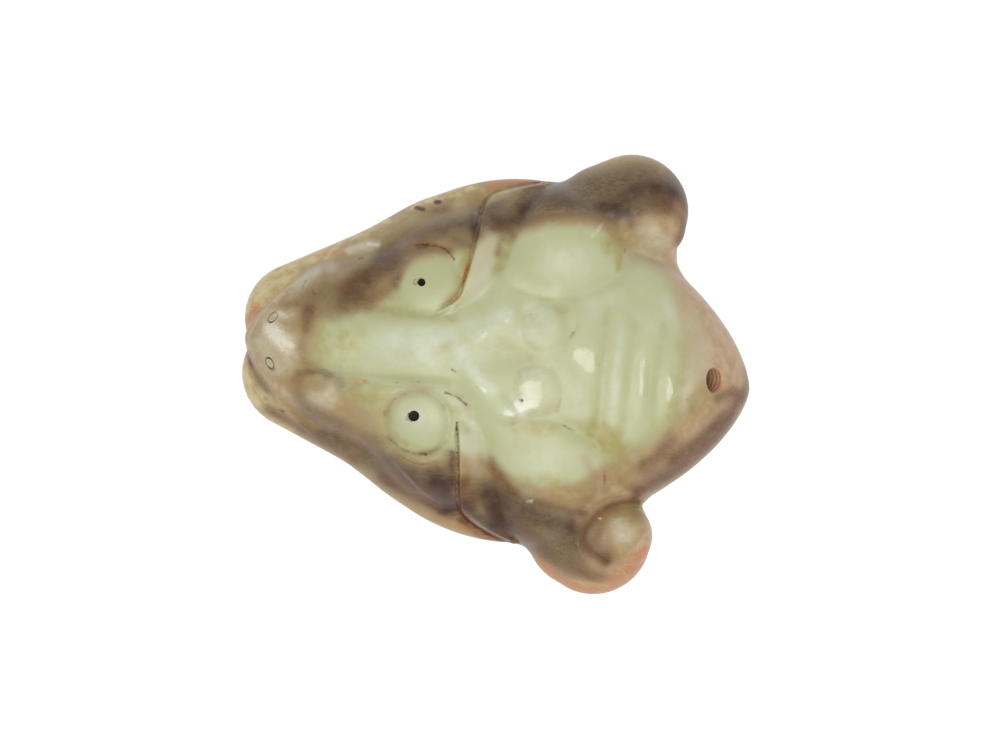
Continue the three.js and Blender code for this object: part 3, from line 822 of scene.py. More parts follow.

# %% Olive depths, with painted shade in the grooves and creases
lay("olive_and_shade", [
    ([(21.5, -12), (25, -14.5), (28, -16.5)], 2.6, 0.8), ([(25, -19.5), (25.5, -24)], 2, 0.5),
    ([(21.2, 12), (21.2, -8)], 1.2, 0.3), ([(26.8, 12), (26.8, -9)], 1.2, 0.26),
    ([(32.3, 10), (32.3, -10)], 1.2, 0.24), ([(37.8, 9), (37.6, -7)], 1.4, 0.35),
    ([(22.5, 27), (22.8, 22)], 1.8, 0.6), ([(-8.6, 12), (-7.8, 17), (-7.6, 22)], 1.3, 0.45),
    ([(-1.5, 17), (0, 22), (1.6, 26)], 1.3, 0.35), ([(-24, 8), (-14, 7.4), (-9, 7)], 1.5, 0.4),
    ([(-34, -1), (-31, 3)], 3, 0.3), ([(5, -11.6), (12, -12.6)], 1.8, 0.5),
    ([(8, -23.2), (16, -24)], 1.8, 0.5), ([(2, 2.5), (6, 0.5)], 3, 0.4), ([(8, 13), (12.5, 11)], 1.6, 0.4),
    ([(-18, -17.5), (-12, -19.5)], 1.2, 0.4), ([(-28, -9), (-22, -11)], 2, 0.4),
    ([(21.8, -12.5), (24, -14)], 2.6, 0.7), ([(-36, -3), (-36, 3)], 2.2, 0.45),
    ([(-30, -8.4), (-22, -9)], 2.6, 0.4), ([(-1.6, 17), (-0.2, 20.5), (1.2, 25.4)], 1.2, 0.4),
    ([(6.5, 31.4), (12, 31)], 1.4, 0.4),
    ([(-20.4, -13), (-18.6, -18), (-14.6, -20.4), (-9.4, -19.6), (-7.2, -16.5)], 1.9, 0.45),
    ([(34.5, 10), (36.5, 2), (35.4, -8)], 2.2, 0.3), ([(23.4, 24.6), (22.9, 22.6), (22.3, 20)], 0.7, 0.4),
    ([(20.5, 27), (20.5, 24)], 1.8, 0.6), ([(-30.5, -2), (-27.5, 2.4)], 3, 0.3),
    ([(5, -13.6), (10, -13.6)], 1.6, 0.3), ([(12, -22), (15, -23)], 1.6, 0.45),
    ([(-5, -13), (-4, -14.6)], 1.1, 0.4), ([(-11.6, 0.6), (-9.4, 2)], 1.6, 0.4),
    ([(-9, -10), (-6.4, -11)], 1.2, 0.4), ([(-29.4, -3.6), (-27, -5)], 1.6, 0.25),
    ([(-8.2, 16), (-7.4, 21)], 1.2, 0.5), ([(-8.6, -7.2), (-6.4, -8)], 1, 0.35),
    ([(-11, 9.6), (-9.4, 11.6)], 1.4, 0.4),
    ([(-20.6, -13), (-19.6, -9.6), (-16.4, -7.4), (-12, -7.4)], 1, 0.45),
    ([(-22.5, 7.4), (-20, 7.6)], 1.2, 0.3), ([(14.5, -10.6), (18, -10.8)], 1.4, 0.35),
    ([(-29.6, 0.4), (-27, -2)], 2, 0.25), ([(14.5, 26), (18.5, 25)], 1.6, 0.3),
])

# %% [markdown]
# ### The thin skin
#
# Where the grinding only just reached, the skin is rosy beige on the crest and the ears and ochre on
# the jaws. Bleached is the worn skin on edges and swellings, nearly as pale as the stone; it also
# paints highlights on the nose pad, the folds of the upper lip and the balls of the ears.

# %% Rose skin
lay("rose", [
    ([(33.5, 24.5), (35, 20.5), (39.5, 15.5), (44, 10), (48, 4.5), (50.5, 0)], 2.4, 0.9),
    ([(36, 15), (41, 9), (44.5, 4)], 3, 0.45), ([(42, 3.5), (46, 2.5), (47, -1)], 2, 0.6),
    ([(47, -3), (43, -8), (38, -12.5), (33, -16.5)], 3, 0.6),
    ([(49.5, -3), (46, -9), (41, -14.5), (35, -19.5), (31, -23.5)], 2.4, 0.9),
    ([(30, 23.8), (33.4, 24.4), (34, 28)], 1.8, 0.8), ([(33.8, 27.5), (34.6, 31)], 1.6, 0.6),
    ([(19.2, -29.2), (19, -33), (20.6, -36.8)], 2, 0.7), ([(20, -29), (25, -26.4), (30, -24.8)], 1.1, 0.8),
    ([(12, -39), (17, -42), (24, -43.5), (30, -41.5), (33.8, -36), (34, -31)], 3, 0.85),
    ([(-49.5, 1), (-47, 5.5), (-43.5, 9.5)], 0.9, 0.5),
    ([(-49.5, -1.5), (-46.5, -6), (-43, -9.5), (-39, -12.5)], 0.9, 0.6),
    ([(-3.2, -20), (-2, -23)], 1.8, 0.45), ([(19.5, -17.5), (22.2, -21), (22.8, -25)], 1.5, 0.45),
    ([(-46, 3.5), (-45, 6.2)], 1.2, 0.6), ([(36.4, 12), (38.6, 4), (37.6, -6), (34, -12)], 2.2, 0.2),
    ([(25.5, 32.5), (31, 31), (34, 28)], 2.4, 0.45), ([(24, -40), (29, -38.4), (32, -35)], 1.8, 0.5),
    ([(-37, -1), (-37, 3)], 1.6, 0.4), ([(11.5, -9.4), (13, -8)], 1.2, 0.35),
    ([(21, -27.4), (19.4, -31.5), (19.8, -36)], 1.6, 0.5),
    ([(24, -41), (29, -39.6), (31.6, -37)], 1.8, 0.6), ([(-5.2, 12.4), (-4, 15)], 1.2, 0.4),
    ([(-1.5, 21), (-1.2, 24)], 1.4, 0.5), ([(-4.6, -9.8), (-4.2, -12)], 1, 0.4),
    ([(-8.6, 9.6), (-10.8, 11.4)], 1.4, 0.4),
])

# %% Ochre skin
lay("ochre", [
    ([(-50, 6), (-47.5, 11), (-42, 15.6), (-36, 18.8)], 2.2, 0.95), ([(-47, 8.5), (-43, 12.5)], 2, 0.9),
    ([(-34, 20.5), (-28, 23.5), (-24, 25.5)], 1.4, 0.6), ([(-20, 28.8), (-14, 31.8), (-8, 33.8)], 1.2, 0.7),
    ([(-3, 32.5), (0, 33), (2, 34)], 1.6, 0.5),
    ([(-50.5, -6), (-48.5, -11), (-44.5, -14.5), (-40, -17)], 2, 0.95),
    ([(17, 41.5), (23, 43), (28, 42.5)], 1.2, 0.5), ([(21, -42.5), (26, -42.5)], 1.6, 0.5),
    ([(-26.8, 18.4), (-24.4, 19.8)], 1.4, 0.5), ([(-46, -12), (-42, -14.6), (-39, -16)], 1.6, 0.5),
    ([(-48, 8), (-44.6, 11.6)], 1.6, 0.7),
])

# %% Bleached skin, with painted highlights
lay("bleach_and_highlight", [
    ([(-46.6, -1), (-43, -5.5), (-40.5, -3)], 2.4, 0.6), ([(-44, 1), (-41, 0)], 3, 0.6),
    ([(-35, -10.8), (-32, -11)], 2.2, 0.7), ([(-40.5, 12), (-36, 15), (-34, 15.6)], 1.6, 0.7),
    ([(-12.5, -21.2), (-9, -20)], 0.8, 0.4), ([(-11, 29.8), (-9, 30.4)], 0.9, 0.4),
    ([(-44.6, 5), (-41.5, 5)], 1.6, 0.5), ([(-5.6, 15), (-4, 20), (-3.2, 24.5)], 1.9, 0.65),
    ([(-3.6, -16), (-2.4, -20), (-1.6, -23)], 1.5, 0.5), ([(-1.5, 33.6), (2.4, 35)], 0.8, 0.5),
    ([(27.4, -30.4), (29.4, -31.8)], 2.6, 0.75), ([(26.4, 28), (29, 28), (31, 26.8)], 2, 0.45),
    ([(-31, 19), (-28.6, 20), (-25.6, 20.6)], 1.1, 0.8), ([(-7, -30.2), (-6, -31)], 0.7, 0.5),
    ([(0.4, -24.6), (1.6, -25.2)], 0.8, 0.5), ([(38, 12.5), (40.8, 7), (40.8, 1)], 2.4, 0.5),
    ([(29, 26.4), (31, 26)], 2, 0.4), ([(-41.5, 9.5), (-39.5, 11)], 1.8, 0.35),
    ([(24.5, 22.6), (30, 22)], 2.4, 0.5), ([(37.5, 10), (38, 0), (37.5, -5)], 1.6, 0.35),
    ([(27, 25.4), (30, 24.8)], 1.4, 0.35), ([(6.5, -25.5), (9, -26)], 1.5, 0.35),
    ([(-19.8, -9.4), (-16, -7.6), (-12.6, -7.4)], 0.9, 0.4), ([(-17.2, -14.4), (-15.6, -13)], 1.6, 0.25),
    ([(40.5, 6), (41, 3)], 1.6, 0.35), ([(28, -15.6), (29.4, -17)], 1.4, 0.35),
    ([(37.6, -3), (37.8, -6)], 1.2, 0.3), ([(-14.6, -7), (-12.4, -7.4)], 1, 0.3),
    ([(25, 22.4), (27, 22.6)], 1.6, 0.3), ([(-47.8, 9), (-45, 11.6)], 1.4, 0.3),
    ([(6, -25), (9, -26)], 1.4, 0.35), ([(-20.6, -11.6), (-18.8, -9.6)], 0.9, 0.35),
    ([(36.5, -15), (38, -17)], 1.4, 0.3), ([(-46.8, 3.6), (-46.2, 5.6)], 1, 0.35),
    ([(-27.4, 20), (-24.6, 19.6)], 1.2, 0.5), ([(-46, -10.6), (-42.6, -14)], 1.6, 0.45),
    ([(-20, -11), (-18.6, -9.2), (-15, -7.6)], 0.9, 0.35),
])

# %% [markdown]
# ### The dark bands
#
# Dusk is the broad greyish brown of the cheeks and the ears, umber the warmer brown in and beside
# it; umber also paints shade along parts of the outline, in the groove round the lower ear ball and
# under the rim of the lower flap. Rust sits at the rims and in the upper crease, and one stroke of it
# paints the shadow under the rim of the lower flap. Smoke is the darkest core of a band, and two
# small flecks near the edge of the upper cheek.

# %% Dusk
lay("dusk", [
    ([(-38, 9), (-33, 11), (-28, 14), (-23, 17.5)], 2.8, 0.5),
    ([(-24, 19), (-18, 23), (-12, 26), (-7, 27.5)], 3.2, 0.6), ([(-5, 27.8), (0, 28.5), (4, 32)], 2.6, 0.8),
    ([(-4.4, 29), (-2, 31.6)], 1.6, 0.5),
    ([(5, 33), (12, 34.8), (19, 36.5), (26, 38.5), (32, 38)], 4.6, 0.95),
    ([(8, 31.6), (20, 31.4)], 1.6, 0.6), ([(24.5, 34.2), (31, 34.8)], 1.8, 0.6),
    ([(-43, -14), (-36, -16.6), (-30, -19), (-24, -21.8)], 2.4, 0.25),
    ([(-23, -21.5), (-16, -24.5), (-9, -27.5)], 3.4, 0.85), ([(-7.6, -19.5), (-7, -25)], 1.3, 0.5),
    ([(1.6, -26.6), (3, -28.8), (5.2, -33)], 3, 0.85),
    ([(7, -28.6), (11, -30), (16, -32), (19, -34)], 4, 0.9), ([(8, -34), (13, -37), (19, -39)], 3, 0.7),
    ([(47.5, -4), (44, -10), (38, -16), (31, -22)], 2.4, 0.35), ([(-10, 22.8), (-7, 22.2)], 1.4, 0.55),
    ([(22, 31.2), (25, 32)], 1.5, 0.8), ([(26, 32.4), (31, 32.8)], 1.6, 0.5),
    ([(-38, -12), (-32, -15.5), (-26, -19)], 2, 0.22),
])

# %% Umber, with painted shade at the outline, the lower ear ball and the lower flap
lay("umber_and_shade", [
    ([(31, -17.5), (34, -15.5), (36.5, -12.5)], 1.6, 0.5), ([(37, -16.5), (42, -12), (46, -7.5)], 2, 0.6),
    ([(44.5, -3.5), (47.5, -1.5)], 1.4, 0.6),
    ([(-39, -8), (-37.5, -12), (-33, -14.5), (-27, -16.5), (-21, -18.5)], 2, 0.45),
    ([(-38.5, 4), (-38, 7)], 1.6, 0.3), ([(-42.5, 7), (-40.5, 7.6)], 1.2, 0.45),
    ([(-38.6, -1.5), (-37, -4.5)], 1.8, 0.35), ([(-38.5, -6.4), (-35, -5.6), (-32.5, -6.2)], 0.9, 0.42),
    ([(-37, 5.4), (-32, 6.8), (-27, 9.4), (-23.5, 11)], 1.5, 0.3), ([(-27, 10.5), (-23, 13)], 2, 0.2),
    ([(-47, 6), (-43, 10.5), (-38, 14.6), (-33, 17.2)], 0.9, 0.2),
    ([(-49.4, -3.2), (-47.6, -7), (-44.6, -10.4)], 1, 0.5), ([(26, 34.8), (30, 34), (33, 35)], 1.3, 0.3),
    ([(23.6, 31), (24.3, 29.5)], 0.9, 0.5), ([(1, -20.5), (3.2, -23.4), (6, -25.8)], 1.6, 0.6),
    ([(-3.5, -24), (-2.5, -28)], 1.8, 0.45), ([(-20.5, 10.5), (-22, 15)], 1.6, 0.15),
    ([(-38.5, 6), (-35.5, 11), (-35.6, 15)], 1.3, 0.3), ([(-38, 2.5), (-37.2, 6.5)], 1.2, 0.35),
    ([(-33, -8), (-27, -9.5)], 3, 0.1), ([(-21.3, 9), (-21.2, 15)], 1.4, 0.1),
    ([(2, -34.6), (8, -37)], 1.6, 0.4), ([(30, 37), (33.5, 33.5)], 2, 0.45),
    ([(33, -17), (36.5, -15.5)], 1.2, 0.15), ([(-36, -14), (-30, -16.5)], 2.4, 0.35),
    ([(-1.2, 17.4), (0.2, 21), (1.2, 25)], 0.9, 0.22),
    ([(2.5, 27.3), (8, 29.6), (14, 30.2), (20.5, 29.6)], 1.4, 0.4),
    ([(-20.9, 13), (-19.6, 18), (-16.4, 20.3), (-11, 20.8)], 1.2, 0.45),
    ([(-26.4, 9.6), (-22.5, 10.4)], 1.4, 0.15), ([(-33, -6.6), (-24, -7), (-12, -6.4)], 0.8, 0.18),
    # the next strokes paint shade: along the lower jaw's edge, under the rim of the lower flap, in the groove
    # round the lower ear ball and on the ball's left side
    ([(-44.5, -14), (-38, -17), (-32, -19.8), (-26, -22.6)], 1.6, 0.65),
    ([(-3.8, -32.6), (0, -34.8), (5, -36.2)], 1, 0.75),
    ([(30.8, -25.6), (27.4, -26), (23.8, -27.8), (21.6, -30.6),
      (21.3, -33.6), (22.6, -36), (25.6, -37.9)], 1.1, 0.6),
    ([(25.6, -27.8), (23, -31), (23.2, -34.6), (25.6, -36.8)], 2, 0.4),
    ([(49.4, -3), (46.6, -9), (41.6, -15.4), (35.6, -20.4), (30.6, -23.6)], 1.7, 0.75),
    ([(34.6, 34), (35.2, 30), (34.6, 27)], 1.8, 0.8), ([(26, 33), (31, 33.4)], 1.6, 0.25),
    ([(10, -27.2), (16, -28), (20, -28.5)], 1, 0.5), ([(-1.6, 31), (0.4, 33.4)], 1.2, 0.4),
    ([(20, -19), (22.4, -22), (21.5, -25)], 1.4, 0.25), ([(-17, -24.6), (-12.6, -28), (-8, -31)], 0.7, 0.4),
    ([(-3, 25.8), (1, 25.6)], 1.3, 0.5), ([(14, -38.5), (19, -41), (25, -41)], 1.8, 0.3),
    ([(20.4, -26.4), (19.4, -30), (19.6, -35)], 1.6, 0.4),
    ([(15.6, 8), (14.8, 6.6), (13.4, 4.2)], 0.9, 0.2), ([(13.5, -6.4), (13.2, -9)], 0.4, 0.35),
    ([(14.4, -11.6), (16.6, -12.4)], 0.4, 0.4),
    ([(-20.6, -13), (-19.6, -9.6), (-16.4, -7.4), (-12, -7.6), (-9, -9.8)], 0.9, 0.25),
    ([(-8.5, -27.5), (-6.5, -30)], 2, 0.75), ([(8.5, -33.5), (12.5, -35.5)], 2.2, 0.75),
    ([(-20, -25.4), (-14, -27.6), (-9, -29)], 2.2, 0.7), ([(-4.4, -25), (-4, -29), (-3, -31.5)], 1.6, 0.6),
    ([(22, 29), (28, 29.6)], 1.4, 0.3), ([(21, -37), (23, -40.5), (27, -41)], 2.2, 0.15),
    # the first stroke here paints shade along the outline at the tip of the crest
    ([(50, 3), (50.4, 0), (49.6, -3)], 1.2, 0.6), ([(-26.5, -19), (-24, -20)], 1.6, 0.25),
    ([(-28, 7.4), (-24, 7.6)], 1.4, 0.2), ([(-14.5, 28.4), (-12.5, 28.8)], 1.6, 0.3),
    ([(-1.6, 21), (-1, 24)], 1.2, 0.45), ([(24, -33), (26, -36)], 2, 0.3),
    ([(-2.4, -21), (-1, -24)], 1.4, 0.3),
    ([(-8.4, -16.6), (-11, -19.2), (-16, -19.6), (-19.6, -17)], 0.8, 0.22),
    ([(-33, 15.8), (-30.5, 17)], 1.3, 0.35), ([(-30, -8), (-27, -7.8)], 1.2, 0.25),
    ([(-17.6, 28), (-13, 29)], 1.4, 0.3), ([(31, -38.2), (32.6, -36.6)], 1.2, 0.35),
    ([(-21, 21), (-17, 22.8), (-12, 24.5)], 2.4, 0.3), ([(-29.5, -19), (-24.5, -20)], 1.8, 0.3),
    ([(30.5, -19), (33, -20.5)], 1.6, 0.3), ([(-9, -27.6), (-6.6, -29.4)], 2.2, 0.65),
    ([(-18, -25.6), (-15, -26.4)], 1.6, 0.5), ([(-31.5, 7.6), (-25.5, 8)], 1.5, 0.25),
    ([(-20, 23.4), (-14, 25.4)], 1.6, 0.3), ([(21, -39.6), (23.6, -41)], 1.4, 0.2),
    ([(39, -3.6), (39.6, -6.4)], 1.2, 0.3), ([(36, -10), (33.6, -14)], 1.2, 0.25),
    ([(20.6, -40), (24, -41.6), (27, -41.4)], 1.2, 0.3), ([(-5.2, -9.4), (-4, -11.8)], 1.1, 0.25),
    ([(-33, -7.6), (-30, -7.6)], 1.6, 0.2), ([(33.4, -18.6), (36, -19.6)], 1.6, 0.3),
    ([(-31, 11), (-27, 14.6), (-23, 18)], 2.6, 0.6), ([(-17, 23), (-10, 26)], 2.4, 0.2),
    ([(1.5, -26.5), (3.5, -30), (5.5, -34)], 3.2, 0.55), ([(-20, -23.4), (-14, -26)], 1.6, 0.3),
    ([(27, -21.6), (30, -23)], 1.6, 0.3), ([(-38.4, 0), (-37, 2.6)], 1.4, 0.25),
    ([(-35, -4.8), (-30.5, -5)], 1.6, 0.25), ([(-32.5, 4.6), (-29.5, 5.6)], 1.4, 0.22),
    ([(-12, -19.6), (-9.4, -18.6)], 1, 0.25), ([(-2.4, -27.6), (-1.2, -30), (0.8, -32)], 1.5, 0.5),
    ([(-11.4, 10), (-9.6, 11.2)], 0.5, 0.3), ([(-39, 12), (-33, 14.6), (-27, 18)], 1.3, 0.12),
    ([(-8.6, -29.2), (-6.8, -28)], 1.1, 0.45), ([(25, -31), (26.2, -32.6)], 1.4, 0.16),
])

# %% Rust, with a painted shadow under the rim of the lower flap
lay("rust_and_shade", [
    ([(-50, 3), (-49, 6)], 1.4, 0.6), ([(-37.5, 17.6), (-34.5, 18), (-32.5, 18.6)], 0.9, 0.6),
    ([(-4.5, 34.6), (-1, 35.8), (3, 36.4), (6, 36.2)], 1, 0.85), ([(8, 30.4), (11, 30.6)], 0.7, 0.35),
    ([(29.4, 40.6), (29.8, 42)], 0.8, 0.6), ([(32.8, 35), (33.6, 32.5)], 1.2, 0.4),
    ([(13, -40.5), (17, -43), (22, -44.2), (27, -43.6)], 1.6, 0.8),
    ([(30.5, -38.5), (32, -37), (33.4, -35)], 1.3, 0.8), ([(28, -43), (31.5, -40.5)], 1.4, 0.5),
    # the stroke from (-8, -32.8) to (3, -35.2) is painted shadow under the rim of the lower flap
    ([(-8, -32.8), (-2, -34.2), (3, -35.2)], 1.2, 0.5), ([(1.5, -22), (3.5, -24)], 0.8, 0.25),
    ([(-27.5, -6.6), (-25, -6.7)], 0.5, 0.6), ([(-49.6, 2.6), (-48.4, 5.6)], 1.2, 0.5),
    ([(-9, 11.6), (-7.9, 14.6), (-7.2, 17.6)], 0.45, 0.7), ([(15, -41), (20, -43.4), (25, -44)], 1, 0.4),
    ([(11, -38.6), (14, -40.6)], 1, 0.5), ([(-11.4, 9.6), (-9, 11.4)], 0.5, 0.3),
    ([(-30, -6.6), (-27, -6.9), (-23, -6.9)], 0.6, 0.3),
    ([(27, -41.6), (30.6, -39), (32.6, -36.4)], 1.8, 0.55), ([(24, -28.4), (26.6, -27.6)], 1, 0.3),
    ([(-27, 19.2), (-24.8, 19.8)], 1.2, 0.2), ([(-7.3, 17), (-6.7, 20.6), (-6.1, 24.6)], 0.5, 0.5),
    ([(-7.6, 15.6), (-7.2, 18), (-6.8, 20.4)], 0.35, 0.5),
])

# %% Smoke
lay("smoke", [
    ([(-34.5, 8.2), (-31, 9), (-28, 10.4)], 2.2, 0.32), ([(-28, 13.6), (-25, 15.6), (-23, 17.6)], 3, 0.3),
    ([(-30, 10.4), (-26.5, 12.4)], 2.2, 0.3), ([(-24.4, 17.6), (-21, 20), (-17, 22)], 2.6, 0.25),
    ([(-12, 25.4), (-9, 26.2), (-6.6, 25.4)], 2.4, 0.35), ([(-7.2, 28), (-6.2, 24)], 0.9, 0.5),
    ([(-2, 27.6), (0.6, 27.8), (2.4, 29.4)], 2.2, 0.55), ([(2.5, 29.5), (4.6, 32.4)], 1.4, 0.45),
    ([(-4.4, 29.6), (-3, 30.4)], 1.2, 0.4),
    ([(19.5, 32), (21.4, 33), (24, 35.4), (28.5, 37), (33, 36.8)], 2.3, 0.65),
    ([(6, 32.6), (12, 32.6), (19, 32.6)], 1.3, 0.35), ([(32, 37.4), (34, 35.4)], 1.2, 0.4),
    ([(-33, -17.8), (-28.5, -19.6)], 1.8, 0.5), ([(-20, -22), (-13, -24.6), (-9, -25.4)], 2.2, 0.4),
    ([(-9.4, -24), (-7.6, -27), (-6.6, -30)], 2.4, 0.85), ([(-6.8, -19), (-6.2, -25)], 0.8, 0.6),
    ([(0.6, -26), (2.6, -28.6), (4.6, -32), (5.6, -34)], 2.8, 0.55),
    ([(1.8, -27.5), (3.4, -30)], 1.8, 0.35), ([(8, -29), (12, -30.5), (17.5, -31.5)], 1.8, 0.45),
    ([(17.6, -29), (19, -32)], 1.2, 0.4), ([(44, -9), (38, -15.6)], 2, 0.2),
    ([(21.2, 31.4), (23, 31.6)], 1.3, 0.6), ([(-3.5, -29), (-1, -31.2), (2.4, -33.2)], 1.2, 0.7),
    ([(3.6, -28), (5, -32.5)], 2.2, 0.4), ([(8, 34), (13, 35)], 2, 0.3),
    ([(-9, 26.4), (-7, 24.6)], 1.6, 0.2), ([(-18.6, 28.8), (-17.1, 28.6)], 0.36, 0.9),
    ([(-18.6, 28.8), (-17.2, 28.6)], 0.4, 1), ([(-14.9, 30.3), (-14, 30.4)], 0.34, 0.9),
    ([(-14.8, 30.3), (-14.2, 30.3)], 0.4, 1),
])

# %% [markdown]
# ### Lines, painted highlights and polish
#
# Stain gathers as thin lines in the creases, under the lids and in small scratches. Frost is
# painted highlight: whitish patches where the lamp shines on the nose pad, the lower boss, the flat
# before the ribs, the lip folds, the upper pad and the lower ear ball. Polish says where the lamp
# is mirrored.

# %% Lines
lay("line", [
    ([(-11.4, 9.4), (-9.2, 11.2), (-8, 14)], 0.3, 0.22),
    ([(-8, 14), (-7.1, 18), (-6.4, 22), (-5.9, 25.5)], 0.3, 0.7),
    ([(-6.5, -13), (-5.6, -20), (-5, -26), (-4.4, -29.2)], 0.34, 0.8),
    ([(-4.4, -29), (-4.1, -30.3), (-2.2, -32.4), (1.2, -34.3), (5.8, -35.9)], 0.55, 0.9),
    ([(-9.4, -7.3), (-7.2, -7.9), (-4.8, -9.4)], 0.3, 0.75), ([(-3.4, -11), (-1.6, -15)], 0.5, 0.35),
    ([(-17.4, 20.9), (-16, 21.2)], 0.6, 0.7),
    ([(-17.6, 21.2), (-14.8, 21.4), (-12.3, 21), (-9.9, 19)], 0.3, 0.65),
    ([(-19.4, -17.4), (-16.5, -19.4), (-12.5, -19.9), (-9.5, -18.3)], 0.5, 0.45),
    ([(-13, -19.8), (-12.2, -19.8)], 0.35, 0.8), ([(-20.9, -12.5), (-19.2, -9.6), (-17, -8.4)], 0.6, 0.45),
    ([(-19.2, -6.3), (-17.6, -6.2)], 0.35, 0.55), ([(-16.2, -5.8), (-14.6, -5.7)], 0.35, 0.55),
    ([(-36.6, -5.9), (-34.8, -5.7)], 0.3, 0.45), ([(23.6, -19.5), (23.8, -22.5)], 0.5, 0.5),
    ([(23.6, -36.4), (25.2, -37.2), (26.6, -38)], 0.35, 0.7), ([(27.5, -8), (27.8, -13)], 0.4, 0.3),
    ([(31.7, -7), (31.7, -12)], 0.4, 0.3), ([(-49.2, -3.6), (-48.2, -6)], 0.6, 0.8),
    ([(-45.2, -11.6), (-44.4, -12.2)], 0.5, 0.6), ([(-42, -13.8), (-41.2, -14.2)], 0.5, 0.6),
    ([(4.4, 35.9), (5.4, 36.1)], 0.4, 0.9), ([(-8.4, -2.6), (-7.6, -3.2)], 0.45, 0.6),
    ([(-28.8, 17.6), (-28.2, 17.8)], 0.5, 0.8), ([(6, 9.8), (6.3, 9.8)], 0.25, 0.6),
    ([(2.6, -18.2), (2.8, -18.2)], 0.4, 0.4), ([(13.2, -7.8), (12.8, -9.2)], 0.25, 0.5),
    ([(14.6, -11.4), (15.8, -12.2)], 0.25, 0.6), ([(5.6, -7.3), (5.9, -7.7)], 0.42, 1),
    ([(-38.9, 12.5), (-39.6, 10.2), (-38.8, 8.6)], 0.26, 0.62), ([(-38.2, 11), (-36.8, 9.4)], 0.26, 0.62),
    ([(-40.2, 7.6), (-38.4, 6.4)], 0.26, 0.62), ([(-37.6, 7.4), (-36.6, 5.6)], 0.26, 0.62),
    ([(15.6, 8.4), (14.8, 6.6)], 0.26, 0.5), ([(14.6, 7), (13.4, 4.8)], 0.26, 0.5),
    ([(15.2, 6.6), (14.4, 5.4)], 0.24, 0.4), ([(23.6, 24.4), (23.1, 22.6), (22.3, 20.2)], 0.26, 0.5),
    ([(-17.2, 14.5), (-17.6, 13.9), (-17.2, 13.3)], 0.24, 0.6),
    ([(-16.1, -12), (-16.4, -12.9), (-15.9, -13.7)], 0.28, 0.7),
])

# %% Frost: painted highlights
lay("painted_highlight", [
    ([(-44.8, 1.8), (-43.2, 0.6), (-41.8, -0.8)], 1.9, 0.9), ([(-43.6, 5.2), (-42.4, 4.8)], 0.8, 0.55),
    ([(-27.4, 20.6), (-25.4, 20.6)], 0.6, 0.55), ([(17.6, 27.2), (18.6, 29)], 0.35, 0.6),
    ([(16.4, 25.4), (17, 27)], 0.4, 0.45), ([(23.4, -29.4), (23.8, -29.4)], 0.26, 0.7),
    ([(9, -27.2), (9.8, -27)], 0.4, 0.6), ([(6.4, -3.4), (7, -5.5), (6.4, -8.2)], 2, 0.45),
    ([(-47.6, 9.6), (-45.6, 11.4)], 1.3, 0.3), ([(7.6, -8.6), (9, -7.4)], 1, 0.35),
    ([(6.2, -9.4), (4.4, -10.2)], 0.8, 0.35), ([(17.6, 3.6), (19.2, 3.2)], 0.9, 0.3),
])

# %% Where the polish is left
lay("polish", [
    ([(6.4, -3.4), (7, -5.5), (7, -7.6)], 2.7, 1), ([(5.6, -8.6), (4, -10), (3, -10.4)], 1.6, 1),
    ([(16.8, 3), (18.8, 1.4)], 2.1, 1), ([(29.4, 2), (29.6, -1), (29.8, -4.2)], 1, 1),
    ([(35.2, 0), (35.6, -5), (35.8, -8.4)], 1.2, 0.9), ([(-3.5, 5), (1, 8)], 1.8, 0.45),
    ([(-3, -5.6), (-1.2, -6.4)], 0.7, 0.7),
])

# %% [markdown]
# ### Green inside, skin outside
#
# Grinding has cut through the skin over the middle of the face, so the green shows there. One
# closed curve says where the skin begins, and everything beyond it goes through beige to the stains.

# %% The edge of the green
GREEN_EDGE = [
    (-35.8, 2.2), (-34, 5), (-30, 6.5), (-25, 8.2), (-21.6, 11.6), (-20, 15), (-17.6, 17.8),
    (-14, 19.2), (-10.4, 19.6), (-6.6, 22), (-2.5, 24.6), (0.6, 24.8), (4, 26), (10, 27.8), (17, 27.9),
    (21.4, 26), (25, 23.4), (31, 22.2), (34.6, 17.2), (37, 12), (39, 6), (39.4, 0), (37.6, -6), (34.6, -10.6),
    (31, -14), (26, -16.5), (22, -19.4), (18.4, -22.4), (13, -23.8), (7, -23.4), (3.2, -21), (0.4, -18.6),
    (-3.5, -19.4), (-6.5, -18.8), (-10, -20), (-15, -20.4), (-19.4, -17.8), (-21.8, -14), (-25, -10.6),
    (-31, -8.4), (-35, -5.8), (-36.8, -2),
]
EDGE_SOFT, CREST_SOFTER = 2.2, 3.6
# where the edge is softer still: centre, reach and how much
SOFTER_SPOTS = [((-26, -13), 10, 3.0), ((-36, 0), 6, 2.5)]

gap, side, _ = nearest(plan_x, plan_y, smooth_line([*GREEN_EDGE, GREEN_EDGE[0]], steps=3))
soft = EDGE_SOFT + CREST_SOFTER * ease(20, 34, plan_x)
soft += sum(more * bell(np.hypot(plan_x - x, plan_y - y), reach) for (x, y), reach, more in SOFTER_SPOTS)
tables["skin"] = ease(-1, 1, gap * side / soft)
print("skin covers", round(float((tables["skin"] > 0.5).mean() * 100)), "% of the plan")

# %% [markdown]
# ### From the plan to the mesh
#
# The tables are read at every corner of the mesh and kept there as named layers, which go with the
# piece wherever it goes. Lines and polish belong to the face alone, and the other layers fade
# towards the back. The drilled holes get two layers of their own: painted shade that darkens the
# pupils, the floor of the nostril rings and the bore of the cord hole the deeper they lie, and the
# raw wall of the cord hole.

